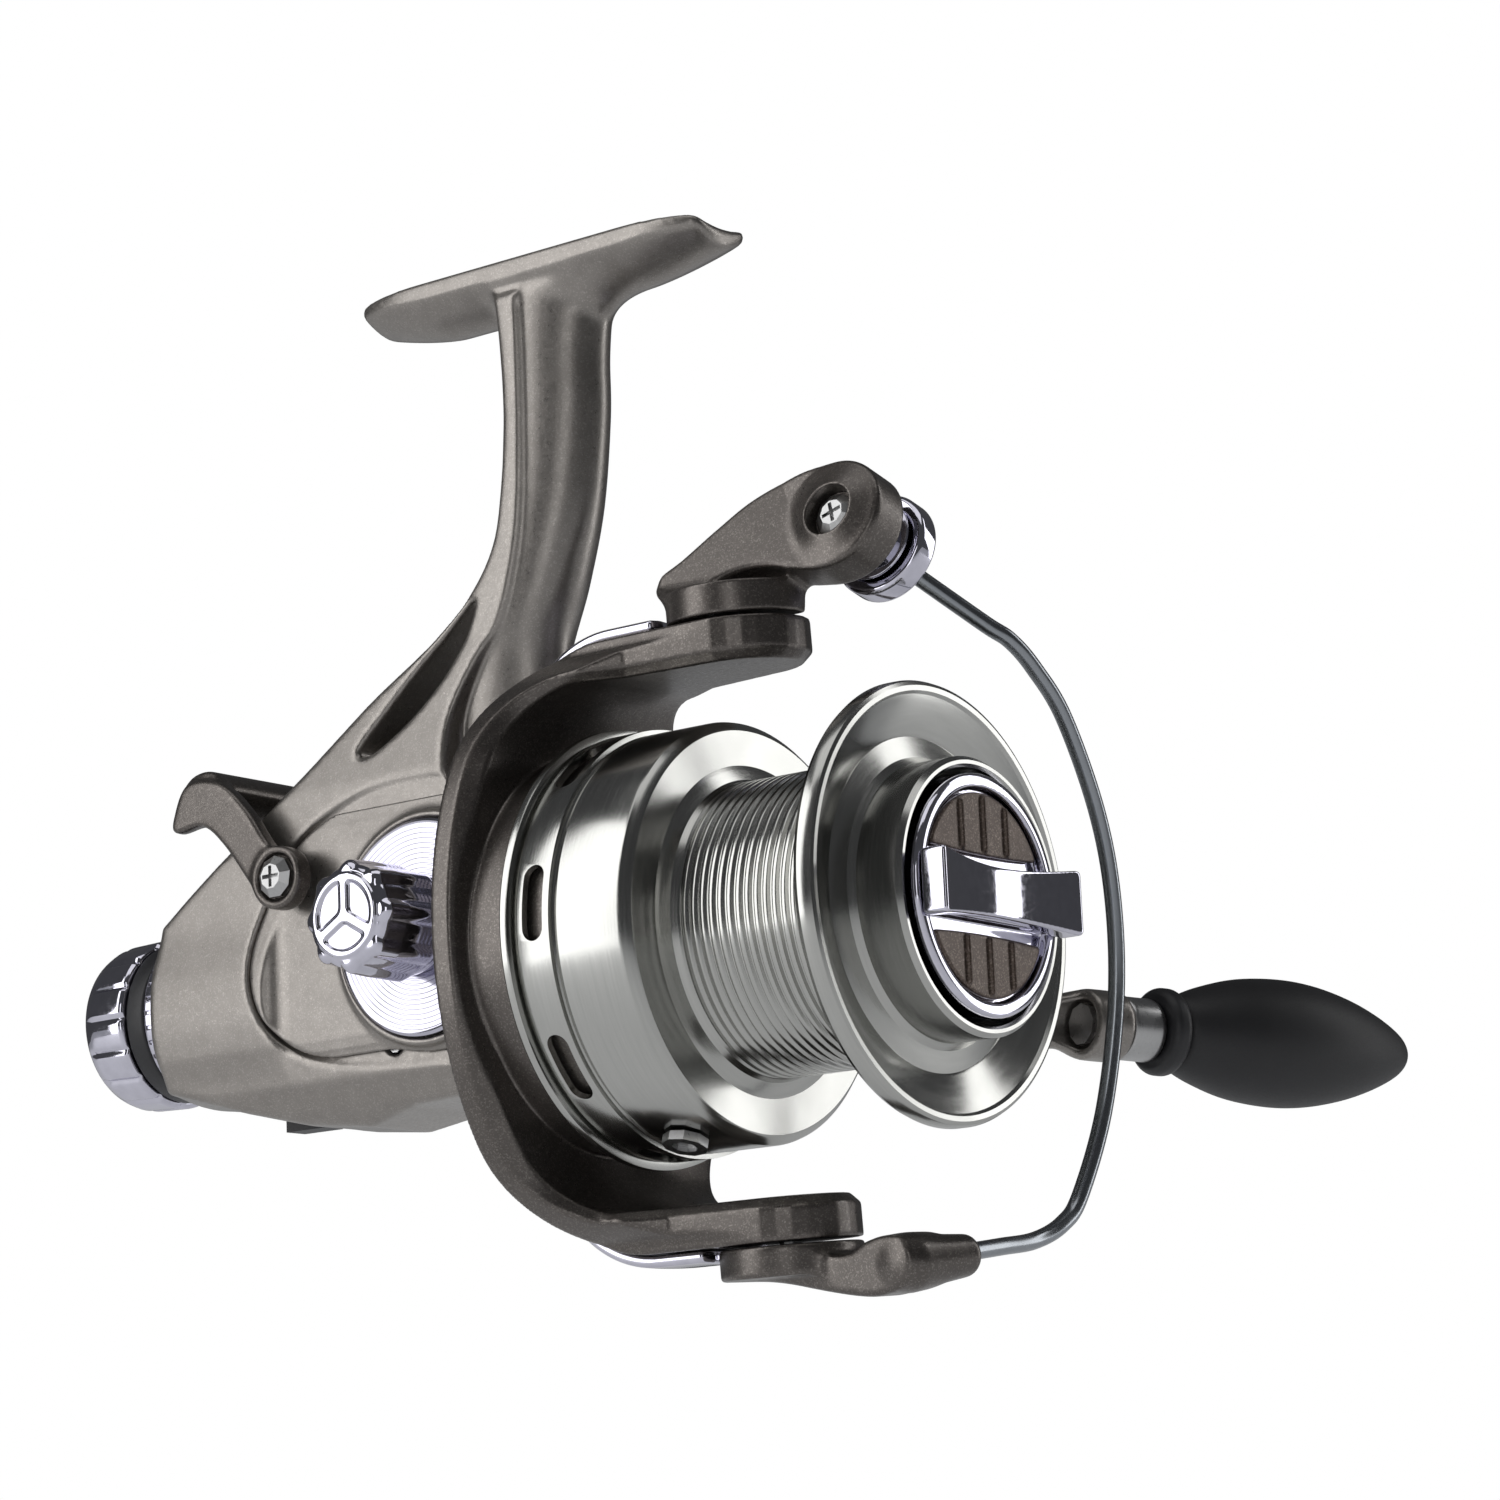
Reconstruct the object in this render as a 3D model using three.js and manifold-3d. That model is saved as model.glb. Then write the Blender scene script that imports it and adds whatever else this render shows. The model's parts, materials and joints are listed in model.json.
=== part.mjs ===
// A front-drag spinning reel of the 6000 size with a bait-feeder clutch.
// Millimetres. Everything is first placed about the spool axis: X points forward along it,
// Z up to the rod foot and Y towards the handle. The outer group then moves the origin to the
// rod seat, the flat strip along the middle of the foot.
import * as THREE from "three";
import { mergeVertices } from "three/addons/utils/BufferGeometryUtils.js";
import Module from "manifold-3d";

const wasm = await Module();
wasm.setup();

// ---------------------------------------------------------------- driving dimensions
const FIT = 0.3; // gap between two pieces that touch when the reel is put together
const RUN = 0.15; // radial gap of a running fit
const FACETS = 0.45; // fineness of round faces, as a share of each piece's full count

// rod foot and stem
const SEAT_Z = 101.5; // height of the rod seat above the spool axis
const FOOT_LENGTH = 64;
const FOOT_WIDTH = 15.6;
const FOOT_X = -64; // middle of the foot
const FOOT_EDGE = 1.5; // how far the foot's long edges stand above the seat
const FOOT_DEPTH = 6; // thickness under the seat
const STEM_HALF = 7.5; // half the width of the stem

// gear case
const CASE_HALF = 14; // half the width of the gear case
const CASE_FRONT = -64;
const CASE_REAR = -133;
const CASE_REAR_R = 13.4;
const BOSS_R = 12; // round boss that reaches into the rotor
const BOSS_FRONT = -51;
const COVER_THICK = 2.3;
const DRIVE_X = -79.5; // handle and drive gear axis
const DRIVE_Z = 5.5;
const TRIM_R = 15.5;

// gear train
const DRIVE_TEETH = 47;
const PINION_TEETH = 10;
const GEAR_R = 14; // outer radius of the drive gear
const GEAR_FACE = 2.4; // length of its teeth along the radius
const TOOTH_SHARE = 0.35; // share of the pitch that a tooth fills
const DRIVE_SHAFT_R = 3.1;
const OSC_X = -96; // oscillating gear axis
const OSC_Z = 3;
const OSC_TEETH = 24;
const OSC_PINION_TEETH = 12;
const STROKE_BACK = 5; // travel of the spool behind its resting place
const STROKE_FRONT = 7.5;
const CRANK_R = (STROKE_BACK + STROKE_FRONT) / 2;
const SLIDER_REST = (STROKE_BACK - STROKE_FRONT) / 2; // the slider rests behind mid-stroke
const SLIDER_HALF = 3.4; // half the width of the oscillating slider
const SLIDER_END = 3; // the slider reaches this far past the crank pin

// main shaft, pinion and rotor
const SHAFT_R = 1.9;
const PINION_BODY_R = 3.4;
const ROTOR_BACK = -63.3;
const ROTOR_PLATE = 5;
const ROTOR_TURN = 0.07; // the rotor's resting angle about the spool axis
const ARM_OUT = 42.5; // outer face of the two rotor arms
const ARM_THICK = 6;
const ROTOR_CORNER = 16; // outer corners, where the arms meet the back plate
const INNER_CORNER = 8;
const ARM_X = -29.9; // bail pivots
const PIVOT_R = 9.9;
const CUP_R = 28.2;
const CUP_FRONT = -44;

// spool
const LIP_R = 30;
const ARBOR_R = 20.5;
const ARBOR_BACK = -30.4;
const SKIRT_R = 29.3;
const SKIRT_BAND_R = 30;
const SKIRT_END_R = 31;
const SKIRT_BACK = -51.3;
const HUB_R = 18.8;
const HUB_BORE_R = 17.3;
const HUB_FRONT = 6;
const HOLES = 8; // oblong holes round the skirt

// bail
const WIRE_R = 1.2;
const ROLLER_R = 5.8;
const HEAD_R = 7.7; // roller end of the bail arm
const CAP_R = 7.5;

// handle
const HANDLE_Y = 34; // where the handle arm starts
const KNOB_LENGTH = 44.5;
const KNOB_R = 9.6;

// ---------------------------------------------------------------- materials
function metal(color, roughness, metalness) {
  return new THREE.MeshStandardMaterial({ color, roughness, metalness });
}
const BODY_PAINT = metal(0x86807a, 0.4, 0.7);
const ROTOR_PAINT = metal(0x4a443f, 0.42, 0.7);
const BRIGHT = metal(0xb4b5ae, 0.22, 1.0);
const CHROME = metal(0xc9c8d6, 0.08, 1.0);
const STEEL = metal(0x8d8f92, 0.3, 1.0);
const BRASS = metal(0xb08d4a, 0.35, 1.0);
const WIRE_STEEL = metal(0x55595e, 0.2, 1.0);
const BLACK_PLASTIC = metal(0x1b1b1d, 0.5, 0.0);
const RUBBER = metal(0x161617, 0.75, 0.0);
const INSERT_PAINT = metal(0x4e4038, 0.45, 0.6);
const FELT = metal(0x5a5348, 0.95, 0.0);

// ---------------------------------------------------------------- solids
// A closed geometry as a solid, turned the right way out.
function solid(geometry) {
  const bare = geometry.index ? geometry.toNonIndexed() : geometry.clone();
  bare.deleteAttribute("normal");
  bare.deleteAttribute("uv");
  const merged = mergeVertices(bare, 1e-4);
  const corners = [...merged.index.array];
  const kept = [];
  for (let i = 0; i < corners.length; i += 3) {
    const [a, b, c] = corners.slice(i, i + 3);
    if (a !== b && b !== c && c !== a) kept.push(a, b, c);
  }
  const made = fromArrays(merged.attributes.position.array, kept);
  if (made.volume() > 0) return made;
  for (let i = 0; i < kept.length; i += 3) {
    [kept[i], kept[i + 1]] = [kept[i + 1], kept[i]];
  }
  return fromArrays(merged.attributes.position.array, kept);
}

function fromArrays(vertProperties, corners) {
  const mesh = new wasm.Mesh({ numProp: 3, vertProperties, triVerts: new Uint32Array(corners) });
  return new wasm.Manifold(mesh);
}

function geometryOf(body) {
  const mesh = body.getMesh();
  const points = new Float32Array(mesh.numVert * 3);
  for (let i = 0; i < mesh.numVert; i++) {
    points.set(mesh.vertProperties.subarray(i * mesh.numProp, i * mesh.numProp + 3), i * 3);
  }
  const geometry = new THREE.BufferGeometry();
  geometry.setAttribute("position", new THREE.BufferAttribute(points, 3));
  geometry.setIndex(new THREE.BufferAttribute(new Uint32Array(mesh.triVerts), 1));
  return geometry;
}

const join = (...bodies) => bodies.reduce((all, body) => all.add(body));
const cut = (body, ...tools) => tools.reduce((all, tool) => all.subtract(tool), body);
const both = (...bodies) => bodies.reduce((all, body) => all.intersect(body));

// A turned ring or disc about X. The profile is a closed list of [radius, x].
function turned(profile, sides = 40, y = 0, z = 0) {
  const points = profile.map(([r, x]) => new THREE.Vector2(r, x));
  const closed = profile[0][0] > 0 || profile.at(-1)[0] > 0;
  if (closed) points.push(points[0].clone());
  const geometry = new THREE.LatheGeometry(points, Math.max(8, Math.round(sides * FACETS)));
  geometry.rotateZ(-Math.PI / 2);
  geometry.translate(0, y, z);
  return solid(geometry);
}

// A plain rod along X, and a tube.
const rod = (r, x0, x1, sides = 32, y = 0, z = 0) =>
  turned([[0, x0], [r, x0], [r, x1], [0, x1]], sides, y, z);
const tube = (r, bore, x0, x1, sides = 40) =>
  turned([[bore, x0], [r, x0], [r, x1], [bore, x1]], sides);

// Turns a body that was made about X so that its axis runs along dir from the point at.
function aimed(body, at, dir) {
  const turn = new THREE.Quaternion().setFromUnitVectors(
    new THREE.Vector3(1, 0, 0),
    new THREE.Vector3(...dir).normalize(),
  );
  const geometry = geometryOf(body).applyQuaternion(turn);
  geometry.translate(...at);
  return solid(geometry);
}
const alongY = (body, x, z) => aimed(body, [x, 0, z], [0, 1, 0]);

function outline(points) {
  return new THREE.Shape(points.map(([a, b]) => new THREE.Vector2(a, b)));
}

// Extrusions of a flat outline along each axis. Outlines are [x, z], [y, z] and [x, y].
function slabY(points, y0, y1) {
  const geometry = extruded(points, y1 - y0);
  geometry.rotateX(Math.PI / 2);
  geometry.translate(0, y1, 0);
  return solid(geometry);
}
function slabX(points, x0, x1) {
  const geometry = extruded(points, x1 - x0);
  geometry.rotateX(Math.PI / 2);
  geometry.rotateZ(Math.PI / 2);
  geometry.translate(x0, 0, 0);
  return solid(geometry);
}
function slabZ(points, z0, z1) {
  const geometry = extruded(points, z1 - z0);
  geometry.translate(0, 0, z0);
  return solid(geometry);
}
function extruded(points, depth) {
  return new THREE.ExtrudeGeometry(outline(points), { depth, bevelEnabled: false, steps: 1 });
}

// A smooth closed or open curve through a few points, as a list of points.
function smooth(points, steps, closed = false) {
  const curve = new THREE.CatmullRomCurve3(
    points.map(([a, b]) => new THREE.Vector3(a, b, 0)), closed, "centripetal");
  return curve.getPoints(steps).map((p) => [p.x, p.y]);
}
function circle(r, cx, cy, sides = 32, from = 0, to = 2 * Math.PI) {
  const whole = to - from >= 2 * Math.PI;
  const count = whole ? sides : sides + 1;
  return Array.from({ length: count }, (_, i) => {
    const angle = from + ((to - from) * i) / sides;
    return [cx + r * Math.cos(angle), cy + r * Math.sin(angle)];
  });
}

// A closed body through rings of points, each ring as long as the others.
function lofted(rings) {
  const n = rings[0].length;
  const points = rings.flat();
  const corners = [];
  for (let k = 0; k + 1 < rings.length; k++) {
    for (let i = 0; i < n; i++) {
      const a = k * n + i;
      const b = k * n + ((i + 1) % n);
      corners.push(a, b, a + n, b, b + n, a + n);
    }
  }
  for (const [k, flip] of [[0, true], [rings.length - 1, false]]) {
    const middle = points.length;
    const ring = rings[k];
    points.push([0, 1, 2].map((j) => ring.reduce((s, p) => s + p[j], 0) / n));
    for (let i = 0; i < n; i++) {
      const a = k * n + i;
      const b = k * n + ((i + 1) % n);
      if (flip) corners.push(b, a, middle);
      else corners.push(a, b, middle);
    }
  }
  const geometry = new THREE.BufferGeometry();
  geometry.setAttribute("position", new THREE.Float32BufferAttribute(points.flat(), 3));
  geometry.setIndex(corners);
  return solid(geometry);
}

// A bar of round or oval section along a smooth path. Each stop is [x, y, z, half a, half b].
function bar(stops, fullSteps, fullSides, side = [0, 1, 0]) {
  const steps = Math.ceil(fullSteps * FACETS);
  const sides = Math.round(fullSides * FACETS);
  const path = new THREE.CatmullRomCurve3(
    stops.map(([x, y, z]) => new THREE.Vector3(x, y, z)), false, "centripetal");
  const rings = [];
  for (let k = 0; k <= steps; k++) {
    const t = k / steps;
    const at = path.getPoint(t);
    const along = path.getTangent(t);
    const across = new THREE.Vector3().crossVectors(along, new THREE.Vector3(...side)).normalize();
    const up = new THREE.Vector3().crossVectors(across, along).normalize();
    const place = t * (stops.length - 1);
    const i = Math.min(Math.floor(place), stops.length - 2);
    const mix = (j) => THREE.MathUtils.lerp(stops[i][j], stops[i + 1][j], place - i);
    rings.push(circle(1, 0, 0, sides).map(([c, s]) => {
      const p = at.clone().addScaledVector(across, mix(3) * c).addScaledVector(up, mix(4) * s);
      return [p.x, p.y, p.z];
    }));
  }
  return lofted(rings);
}

// A cross-head screw about X: its head's top is at x = 0 and its shank runs to -length.
function screw(headR, headTall, shankR, length) {
  const head = turned([
    [0, -length], [shankR, -length], [shankR, -headTall], [headR, -headTall],
    [headR, -headTall * 0.5], [headR * 0.6, 0], [0, 0],
  ], 20);
  const slot = [[-headR * 0.5, -0.3], [headR * 0.5, -0.3], [headR * 0.5, 0.3], [-headR * 0.5, 0.3]];
  const upright = slot.map(([a, b]) => [b, a]);
  const deep = -headTall * 0.55;
  return cut(head, slabX(slot, deep, 1), slabX(upright, deep, 1));
}

// ---------------------------------------------------------------- the scene
const reel = new THREE.Group();
const axisGroup = new THREE.Group();
axisGroup.position.set(-FOOT_X, 0, -SEAT_Z);
reel.add(axisGroup);
const rotorGroup = new THREE.Group();
rotorGroup.rotation.x = ROTOR_TURN;
axisGroup.add(rotorGroup);

function add(name, body, material, group = axisGroup) {
  const mesh = new THREE.Mesh(geometryOf(body), material);
  mesh.name = name;
  group.add(mesh);
}

// ---------------------------------------------------------------- frame: foot, stem, gear case
function foot() {
  const half = FOOT_LENGTH / 2;
  const stations = [-1, -0.97, -0.86, -0.6, -0.25, 0.25, 0.6, 0.86, 0.97, 1];
  return lofted(stations.map((t) => {
    const end = Math.max(0, Math.abs(t) - 0.6) / 0.4;
    const w = (FOOT_WIDTH / 2) * (1 - 0.3 * end ** 3);
    const deep = FOOT_DEPTH * (1 - 0.45 * end);
    const edge = SEAT_Z + FOOT_EDGE - 2.9 + end * 0.6;
    const low = SEAT_Z - deep;
    const x = FOOT_X + t * half;
    const top = SEAT_Z + FOOT_EDGE;
    return [
      [x, -w, top], [x, -w * 0.7, SEAT_Z + FOOT_EDGE * 0.4], [x, -w * 0.28, SEAT_Z],
      [x, w * 0.28, SEAT_Z], [x, w * 0.7, SEAT_Z + FOOT_EDGE * 0.4], [x, w, top],
      [x, w, edge], [x, w * 0.72, (edge + low) / 2 - 0.4], [x, w * 0.3, low],
      [x, -w * 0.3, low], [x, -w * 0.72, (edge + low) / 2 - 0.4], [x, -w, edge],
    ];
  }));
}

// The stem and the gear case share one side outline.
function sideOutline() {
  const stemTop = SEAT_Z - FOOT_DEPTH + 1.5;
  const rear = smooth([
    [CASE_REAR, 12.5], [-120, 22], [-106, 31], [-92, 42.5], [-80, 50], [-72, 57.5],
    [-68.8, 66], [-67.6, 78], [-68.2, 90], [-70.5, stemTop],
  ], 26);
  const front = smooth([
    [-49.5, stemTop], [-54.2, 88], [-54.7, 79], [-56.6, 66], [-60, 55], [CASE_FRONT, 43],
  ], 14);
  const belly = [
    [CASE_FRONT, -16.5], [-72, -18], [-87, -18.6], [-97, -20.7], [-108, -19.6], [-125, -14.5],
    [CASE_REAR, -12.5],
  ];
  return [...rear, ...front, ...belly];
}

// The width of stem and case at each height.
function frontOutline() {
  const right = [
    [STEM_HALF, SEAT_Z], [STEM_HALF, 48], [9.5, 38], [12.4, 29], [CASE_HALF, 20],
    [CASE_HALF, -8], [11, -16], [7, -21.5],
  ];
  const left = right.map(([y, z]) => [-y, z]).reverse();
  return [...right, ...left];
}

// The opening that the side cover closes.
function coverOutline(grow) {
  const points = smooth([
    [-66, -12.8], [-80, -12.8], [-98.8, -11.2], [-107.5, -8], [-112, -3], [-113.6, 4],
    [-112, 11], [-106, 20], [-98, 25], [-88, 27.5], [-76, 27], [-66, 23],
  ], 36, true);
  const cx = -88;
  const cz = 6;
  return points.slice(0, -1).map(([x, z]) => {
    const length = Math.hypot(x - cx, z - cz);
    return [x + ((x - cx) / length) * grow, z + ((z - cz) / length) * grow];
  });
}

const SLIDER_Y0 = 2.3; // near face of the oscillating slider
const COVER_SCREWS = [[-88, -10], [-91, 22.5], [-110.3, 7]];
const LEVER_PIVOT = [-104.3, 15.7];
const SWITCH_X = -114;
const SWITCH_Z = -16.4; // flat under the case that the switch turns on

function bodyFrame() {
  const shell = both(
    slabY(sideOutline(), -CASE_HALF - 1, CASE_HALF + 1),
    slabX(frontOutline(), CASE_REAR - 1, CASE_FRONT + 40),
  );
  const ring = alongY(rod(TRIM_R + 1.2, -CASE_HALF - 0.4, CASE_HALF - 0.2, 40), DRIVE_X, DRIVE_Z);
  const ringTrim = slabX(circle(60, 0, 0, 24), CASE_REAR, CASE_FRONT);
  const handleBoss = alongY(rod(8.5, CASE_HALF - 1, CASE_HALF + 5, 32), DRIVE_X, DRIVE_Z);
  const rear = rod(CASE_REAR_R, CASE_REAR, -118, 32);
  const frontBoss = rod(BOSS_R, CASE_FRONT - 1, BOSS_FRONT, 36);
  const solidBody = join(shell, both(ring, ringTrim), handleBoss, rear, frontBoss, foot());
  const slit = slabY([
    [-74.5, 52.5], [-78.5, 44.5], [-84, 38.6], [-92.5, 33], [-94, 34.6], [-87, 42.4], [-81, 48],
  ], -30, 30);
  const mouth = slabY(coverOutline(FIT), -30, -CASE_HALF + COVER_THICK + FIT);
  const deep = CASE_HALF - 2.8;
  const gearRoom = alongY(rod(GEAR_R + 0.9, -20, deep, 40), DRIVE_X, DRIVE_Z);
  const oscRoom = alongY(rod(12.7, -20, deep, 36), OSC_X, OSC_Z);
  const shaftRoom = slabY([[-110, -5], [-70, -5], [-70, 5], [-110, 5]], -20, deep);
  const slideX = SLIDER_HALF + CRANK_R + 2 * FIT;
  const slideZ = SLIDER_END + CRANK_R + 2 * FIT;
  const slideRoom = slabY([
    [OSC_X - slideX, OSC_Z - slideZ], [OSC_X + slideX, OSC_Z - slideZ],
    [OSC_X + slideX, OSC_Z + slideZ], [OSC_X - slideX, OSC_Z + slideZ],
  ], SLIDER_Y0 - 2 * FIT, deep);
  const clutchBore = rod(8.7, BOSS_FRONT - 11, BOSS_FRONT + 5, 36);
  const pinionBore = rod(PINION_BODY_R + 0.5, -72, BOSS_FRONT + 1, 28);
  const rearBore = rod(5.6, CASE_REAR - 5, -108, 28);
  const driveBore = alongY(rod(7.6, deep - 1, CASE_HALF + 2, 32), DRIVE_X, DRIVE_Z);
  const shaftBore = alongY(rod(DRIVE_SHAFT_R + 1.5, 0, 40, 28), DRIVE_X, DRIVE_Z);
  const oscBore = alongY(rod(2.5 + 2 * RUN, deep - 2, CASE_HALF - 1, 20), OSC_X, OSC_Z);
  const screwHoles = COVER_SCREWS.map(([x, z]) => screwHole(x, z));
  const pivotHoles = [-1, 1].map((side) => {
    const at = [LEVER_PIVOT[0], side * (CASE_HALF - 6), LEVER_PIVOT[1]];
    return aimed(rod(1.6, 0, 8, 16), at, [0, side, 0]);
  });
  const switchHole = join(
    aimed(rod(2.8, 0, 14, 20), [SWITCH_X, 0, -25.5], [0, 0, 1]),
    aimed(rod(6.2, 0, SWITCH_Z + 25, 28), [SWITCH_X, 0, -25], [0, 0, 1]),
  );
  return cut(solidBody, slit, mouth, gearRoom, oscRoom, shaftRoom, slideRoom, clutchBore, pinionBore,
    rearBore, driveBore, shaftBore, oscBore, switchHole, ...screwHoles, ...pivotHoles);
}

// A stepped hole for a cover screw, which goes in from the handle side.
function screwHole(x, z) {
  return join(
    alongY(rod(1.5, -30, 30, 16), x, z),
    alongY(rod(2.9, CASE_HALF - 2.2, 40, 20), x, z),
  );
}

function sideCover() {
  const inner = -CASE_HALF + COVER_THICK;
  const plate = both(
    slabY(coverOutline(0), -CASE_HALF - 1, inner),
    slabX(frontOutline(), -130, CASE_FRONT - FIT),
  );
  const rim = both(
    alongY(rod(TRIM_R + 1.2, -CASE_HALF - 0.4, inner, 40), DRIVE_X, DRIVE_Z),
    slabX(circle(60, 0, 0, 24), CASE_REAR, -66.2),
  );
  const bearingBore = alongY(rod(DRIVE_SHAFT_R + 1, -30, 0, 28), DRIVE_X, DRIVE_Z);
  const trimSeat = alongY(rod(TRIM_R + FIT, -30, -CASE_HALF + 0.4, 40), DRIVE_X, DRIVE_Z);
  const holes = COVER_SCREWS.map(([x, z]) => alongY(rod(1.5, inner - 1.6, 0, 16), x, z));
  const pivotHole = alongY(rod(1.6, -30, 0, 16), ...LEVER_PIVOT);
  return cut(join(plate, rim), bearingBore, trimSeat, pivotHole, ...holes);
}

add("body_frame", bodyFrame(), BODY_PAINT);
add("side_cover", sideCover(), BODY_PAINT);
COVER_SCREWS.forEach(([x, z], i) => {
  const body = screw(2.5, 1.6, 1.2, 2 * CASE_HALF - 3.2);
  add("cover_screw_" + (i + 1), aimed(body, [x, CASE_HALF - 0.4, z], [0, 1, 0]), STEEL);
});

// chrome trim on the cover, with turned rings
const TRIM_FACE = -CASE_HALF - 1;
function trimDisc() {
  const bore = DRIVE_SHAFT_R + 1.2;
  return turned([
    [bore, -CASE_HALF + 0.1], [bore, TRIM_FACE + 0.4], [10.5, TRIM_FACE - 0.2],
    [TRIM_R - 1, TRIM_FACE - 0.2], [TRIM_R, TRIM_FACE + 0.4], [TRIM_R, -CASE_HALF + 0.1],
  ], 40);
}
add("side_trim_disc", alongY(trimDisc(), DRIVE_X, DRIVE_Z), CHROME);

// printed index ring at the rear of the case
const INDEX_FRONT = CASE_REAR - FIT;
add("rear_index_ring", tube(12.9, 5.8, INDEX_FRONT - 3.7, INDEX_FRONT, 40), CHROME);

// anti-reverse switch under the case
function reverseSwitch() {
  const stem = aimed(rod(2.4, 0, 5.4, 20), [SWITCH_X, 0, SWITCH_Z - FIT - 0.2], [0, 0, 1]);
  const low = SWITCH_Z - 2.6;
  const tab = slabZ([
    [SWITCH_X - 4, -2], [SWITCH_X + 3.6, -2], [SWITCH_X + 4.8, 0],
    [SWITCH_X + 3.6, 2], [SWITCH_X - 4, 2],
  ], low, SWITCH_Z - FIT);
  return join(stem, tab);
}
add("anti_reverse_switch", reverseSwitch(), BLACK_PLASTIC);

// ---------------------------------------------------------------- drive train
// The mesh point of crown gear and pinion lies on the pinion's left flank, below the drive axis.
const GEAR_MEAN_R = GEAR_R - GEAR_FACE / 2;
const MESH_ANGLE = -Math.asin(DRIVE_Z / GEAR_MEAN_R);
const PINION_R = (GEAR_MEAN_R * PINION_TEETH) / DRIVE_TEETH / Math.cos(MESH_ANGLE);
const TOOTH_HALF = 0.38; // tooth height above and below the pitch line
const MESH_X = DRIVE_X + GEAR_MEAN_R * Math.cos(MESH_ANGLE);

function crownTooth(index) {
  const angle = MESH_ANGLE + ((index + 0.5) * 2 * Math.PI) / DRIVE_TEETH;
  const half = (TOOTH_SHARE * Math.PI * GEAR_MEAN_R) / DRIVE_TEETH;
  const radial = [Math.cos(angle), Math.sin(angle)];
  const along = [-Math.sin(angle), Math.cos(angle)];
  const ring = (r) => [[-1, -1.5], [1, -1.5], [0.7, 2 * TOOTH_HALF], [-0.7, 2 * TOOTH_HALF]]
    .map(([side, high]) => [
      DRIVE_X + radial[0] * r + along[0] * half * side,
      -PINION_R - TOOTH_HALF + high,
      DRIVE_Z + radial[1] * r + along[1] * half * side,
    ]);
  return lofted([ring(GEAR_R - GEAR_FACE), ring(GEAR_R)]);
}

const GEAR_TOP = -PINION_R - TOOTH_HALF - 0.25;
const OSC_DISTANCE = Math.hypot(OSC_X - DRIVE_X, OSC_Z - DRIVE_Z);
const OSC_MODULE = (2 * OSC_DISTANCE) / (OSC_TEETH + OSC_PINION_TEETH);
const OSC_Y0 = 5.2;
const OSC_Y1 = 8.2;
const PIN_R = 1.4; // crank pin

// A spur gear outline about the origin.
function spurOutline(teeth, phase) {
  const r = (teeth * OSC_MODULE) / 2;
  const pitch = (2 * Math.PI) / teeth;
  const points = [];
  for (let i = 0; i < teeth; i++) {
    const a = phase + i * pitch;
    for (const [t, high] of [[-0.27, -1.05], [-0.12, 0.85], [0.12, 0.85], [0.27, -1.05]]) {
      const rr = r + high * OSC_MODULE;
      points.push([rr * Math.cos(a + t * pitch), rr * Math.sin(a + t * pitch)]);
    }
  }
  return points;
}
const moved = (points, dx, dz) => points.map(([x, z]) => [x + dx, z + dz]);
const OSC_LINE = Math.atan2(OSC_Z - DRIVE_Z, OSC_X - DRIVE_X);

function driveGear() {
  const disc = alongY(rod(GEAR_R, GEAR_TOP - 2.6, GEAR_TOP, 47), DRIVE_X, DRIVE_Z);
  const teeth = Array.from({ length: DRIVE_TEETH }, (_, i) => crownTooth(i));
  const shaft = alongY(rod(DRIVE_SHAFT_R, -CASE_HALF - 0.6, CASE_HALF + 4, 28), DRIVE_X, DRIVE_Z);
  const hub = alongY(rod(5, GEAR_TOP - 3, GEAR_TOP + 1, 28), DRIVE_X, DRIVE_Z);
  const small = slabY(moved(spurOutline(OSC_PINION_TEETH, OSC_LINE), DRIVE_X, DRIVE_Z), OSC_Y0, OSC_Y1);
  const screwBore = alongY(rod(1.9, -30, -CASE_HALF + 9, 20), DRIVE_X, DRIVE_Z);
  return cut(join(disc, hub, shaft, small, ...teeth), screwBore);
}
add("drive_gear", driveGear(), BRASS);

function pinion() {
  const length = 5;
  const x0 = MESH_X - length / 2;
  const slices = 5;
  const pitch = (2 * Math.PI) / PINION_TEETH;
  const rings = Array.from({ length: slices + 1 }, (_, k) => {
    const x = x0 + (length * k) / slices;
    // the teeth follow the crown gear's radial line across the pinion's left side
    const lean = ((x - MESH_X) * Math.tan(MESH_ANGLE)) / PINION_R;
    const points = [];
    for (let i = 0; i < PINION_TEETH; i++) {
      const a = Math.PI - ROTOR_TURN - lean + i * pitch;
      for (const [t, high] of [[-0.24, -1.1], [-0.13, 0.9], [0.13, 0.9], [0.24, -1.1]]) {
        const r = PINION_R + high * TOOTH_HALF;
        points.push([x, r * Math.cos(a + t * pitch), r * Math.sin(a + t * pitch)]);
      }
    }
    return points;
  });
  const body = rod(PINION_BODY_R, x0 + length, -40.5, 28);
  const bore = rod(SHAFT_R + RUN, -80, -30, 24);
  return cut(join(lofted(rings), body), bore);
}
add("pinion_gear", pinion(), BRASS, rotorGroup);

function oscGear() {
  const wheel = slabY(
    moved(spurOutline(OSC_TEETH, OSC_LINE + Math.PI + Math.PI / OSC_TEETH), OSC_X, OSC_Z), OSC_Y0, OSC_Y1);
  const stub = alongY(rod(2.5, OSC_Y1 - 1, CASE_HALF - 1.4, 20), OSC_X, OSC_Z);
  const holes = [1, 2, 3, 4, 5].map((i) => {
    const a = Math.PI / 2 + (i * Math.PI) / 3;
    const out = CRANK_R;
    return alongY(rod(1.6, 0, 20, 14), OSC_X + out * Math.cos(a), OSC_Z + out * Math.sin(a));
  });
  return cut(join(wheel, stub), ...holes);
}
add("oscillating_gear", oscGear(), BRASS);

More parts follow.
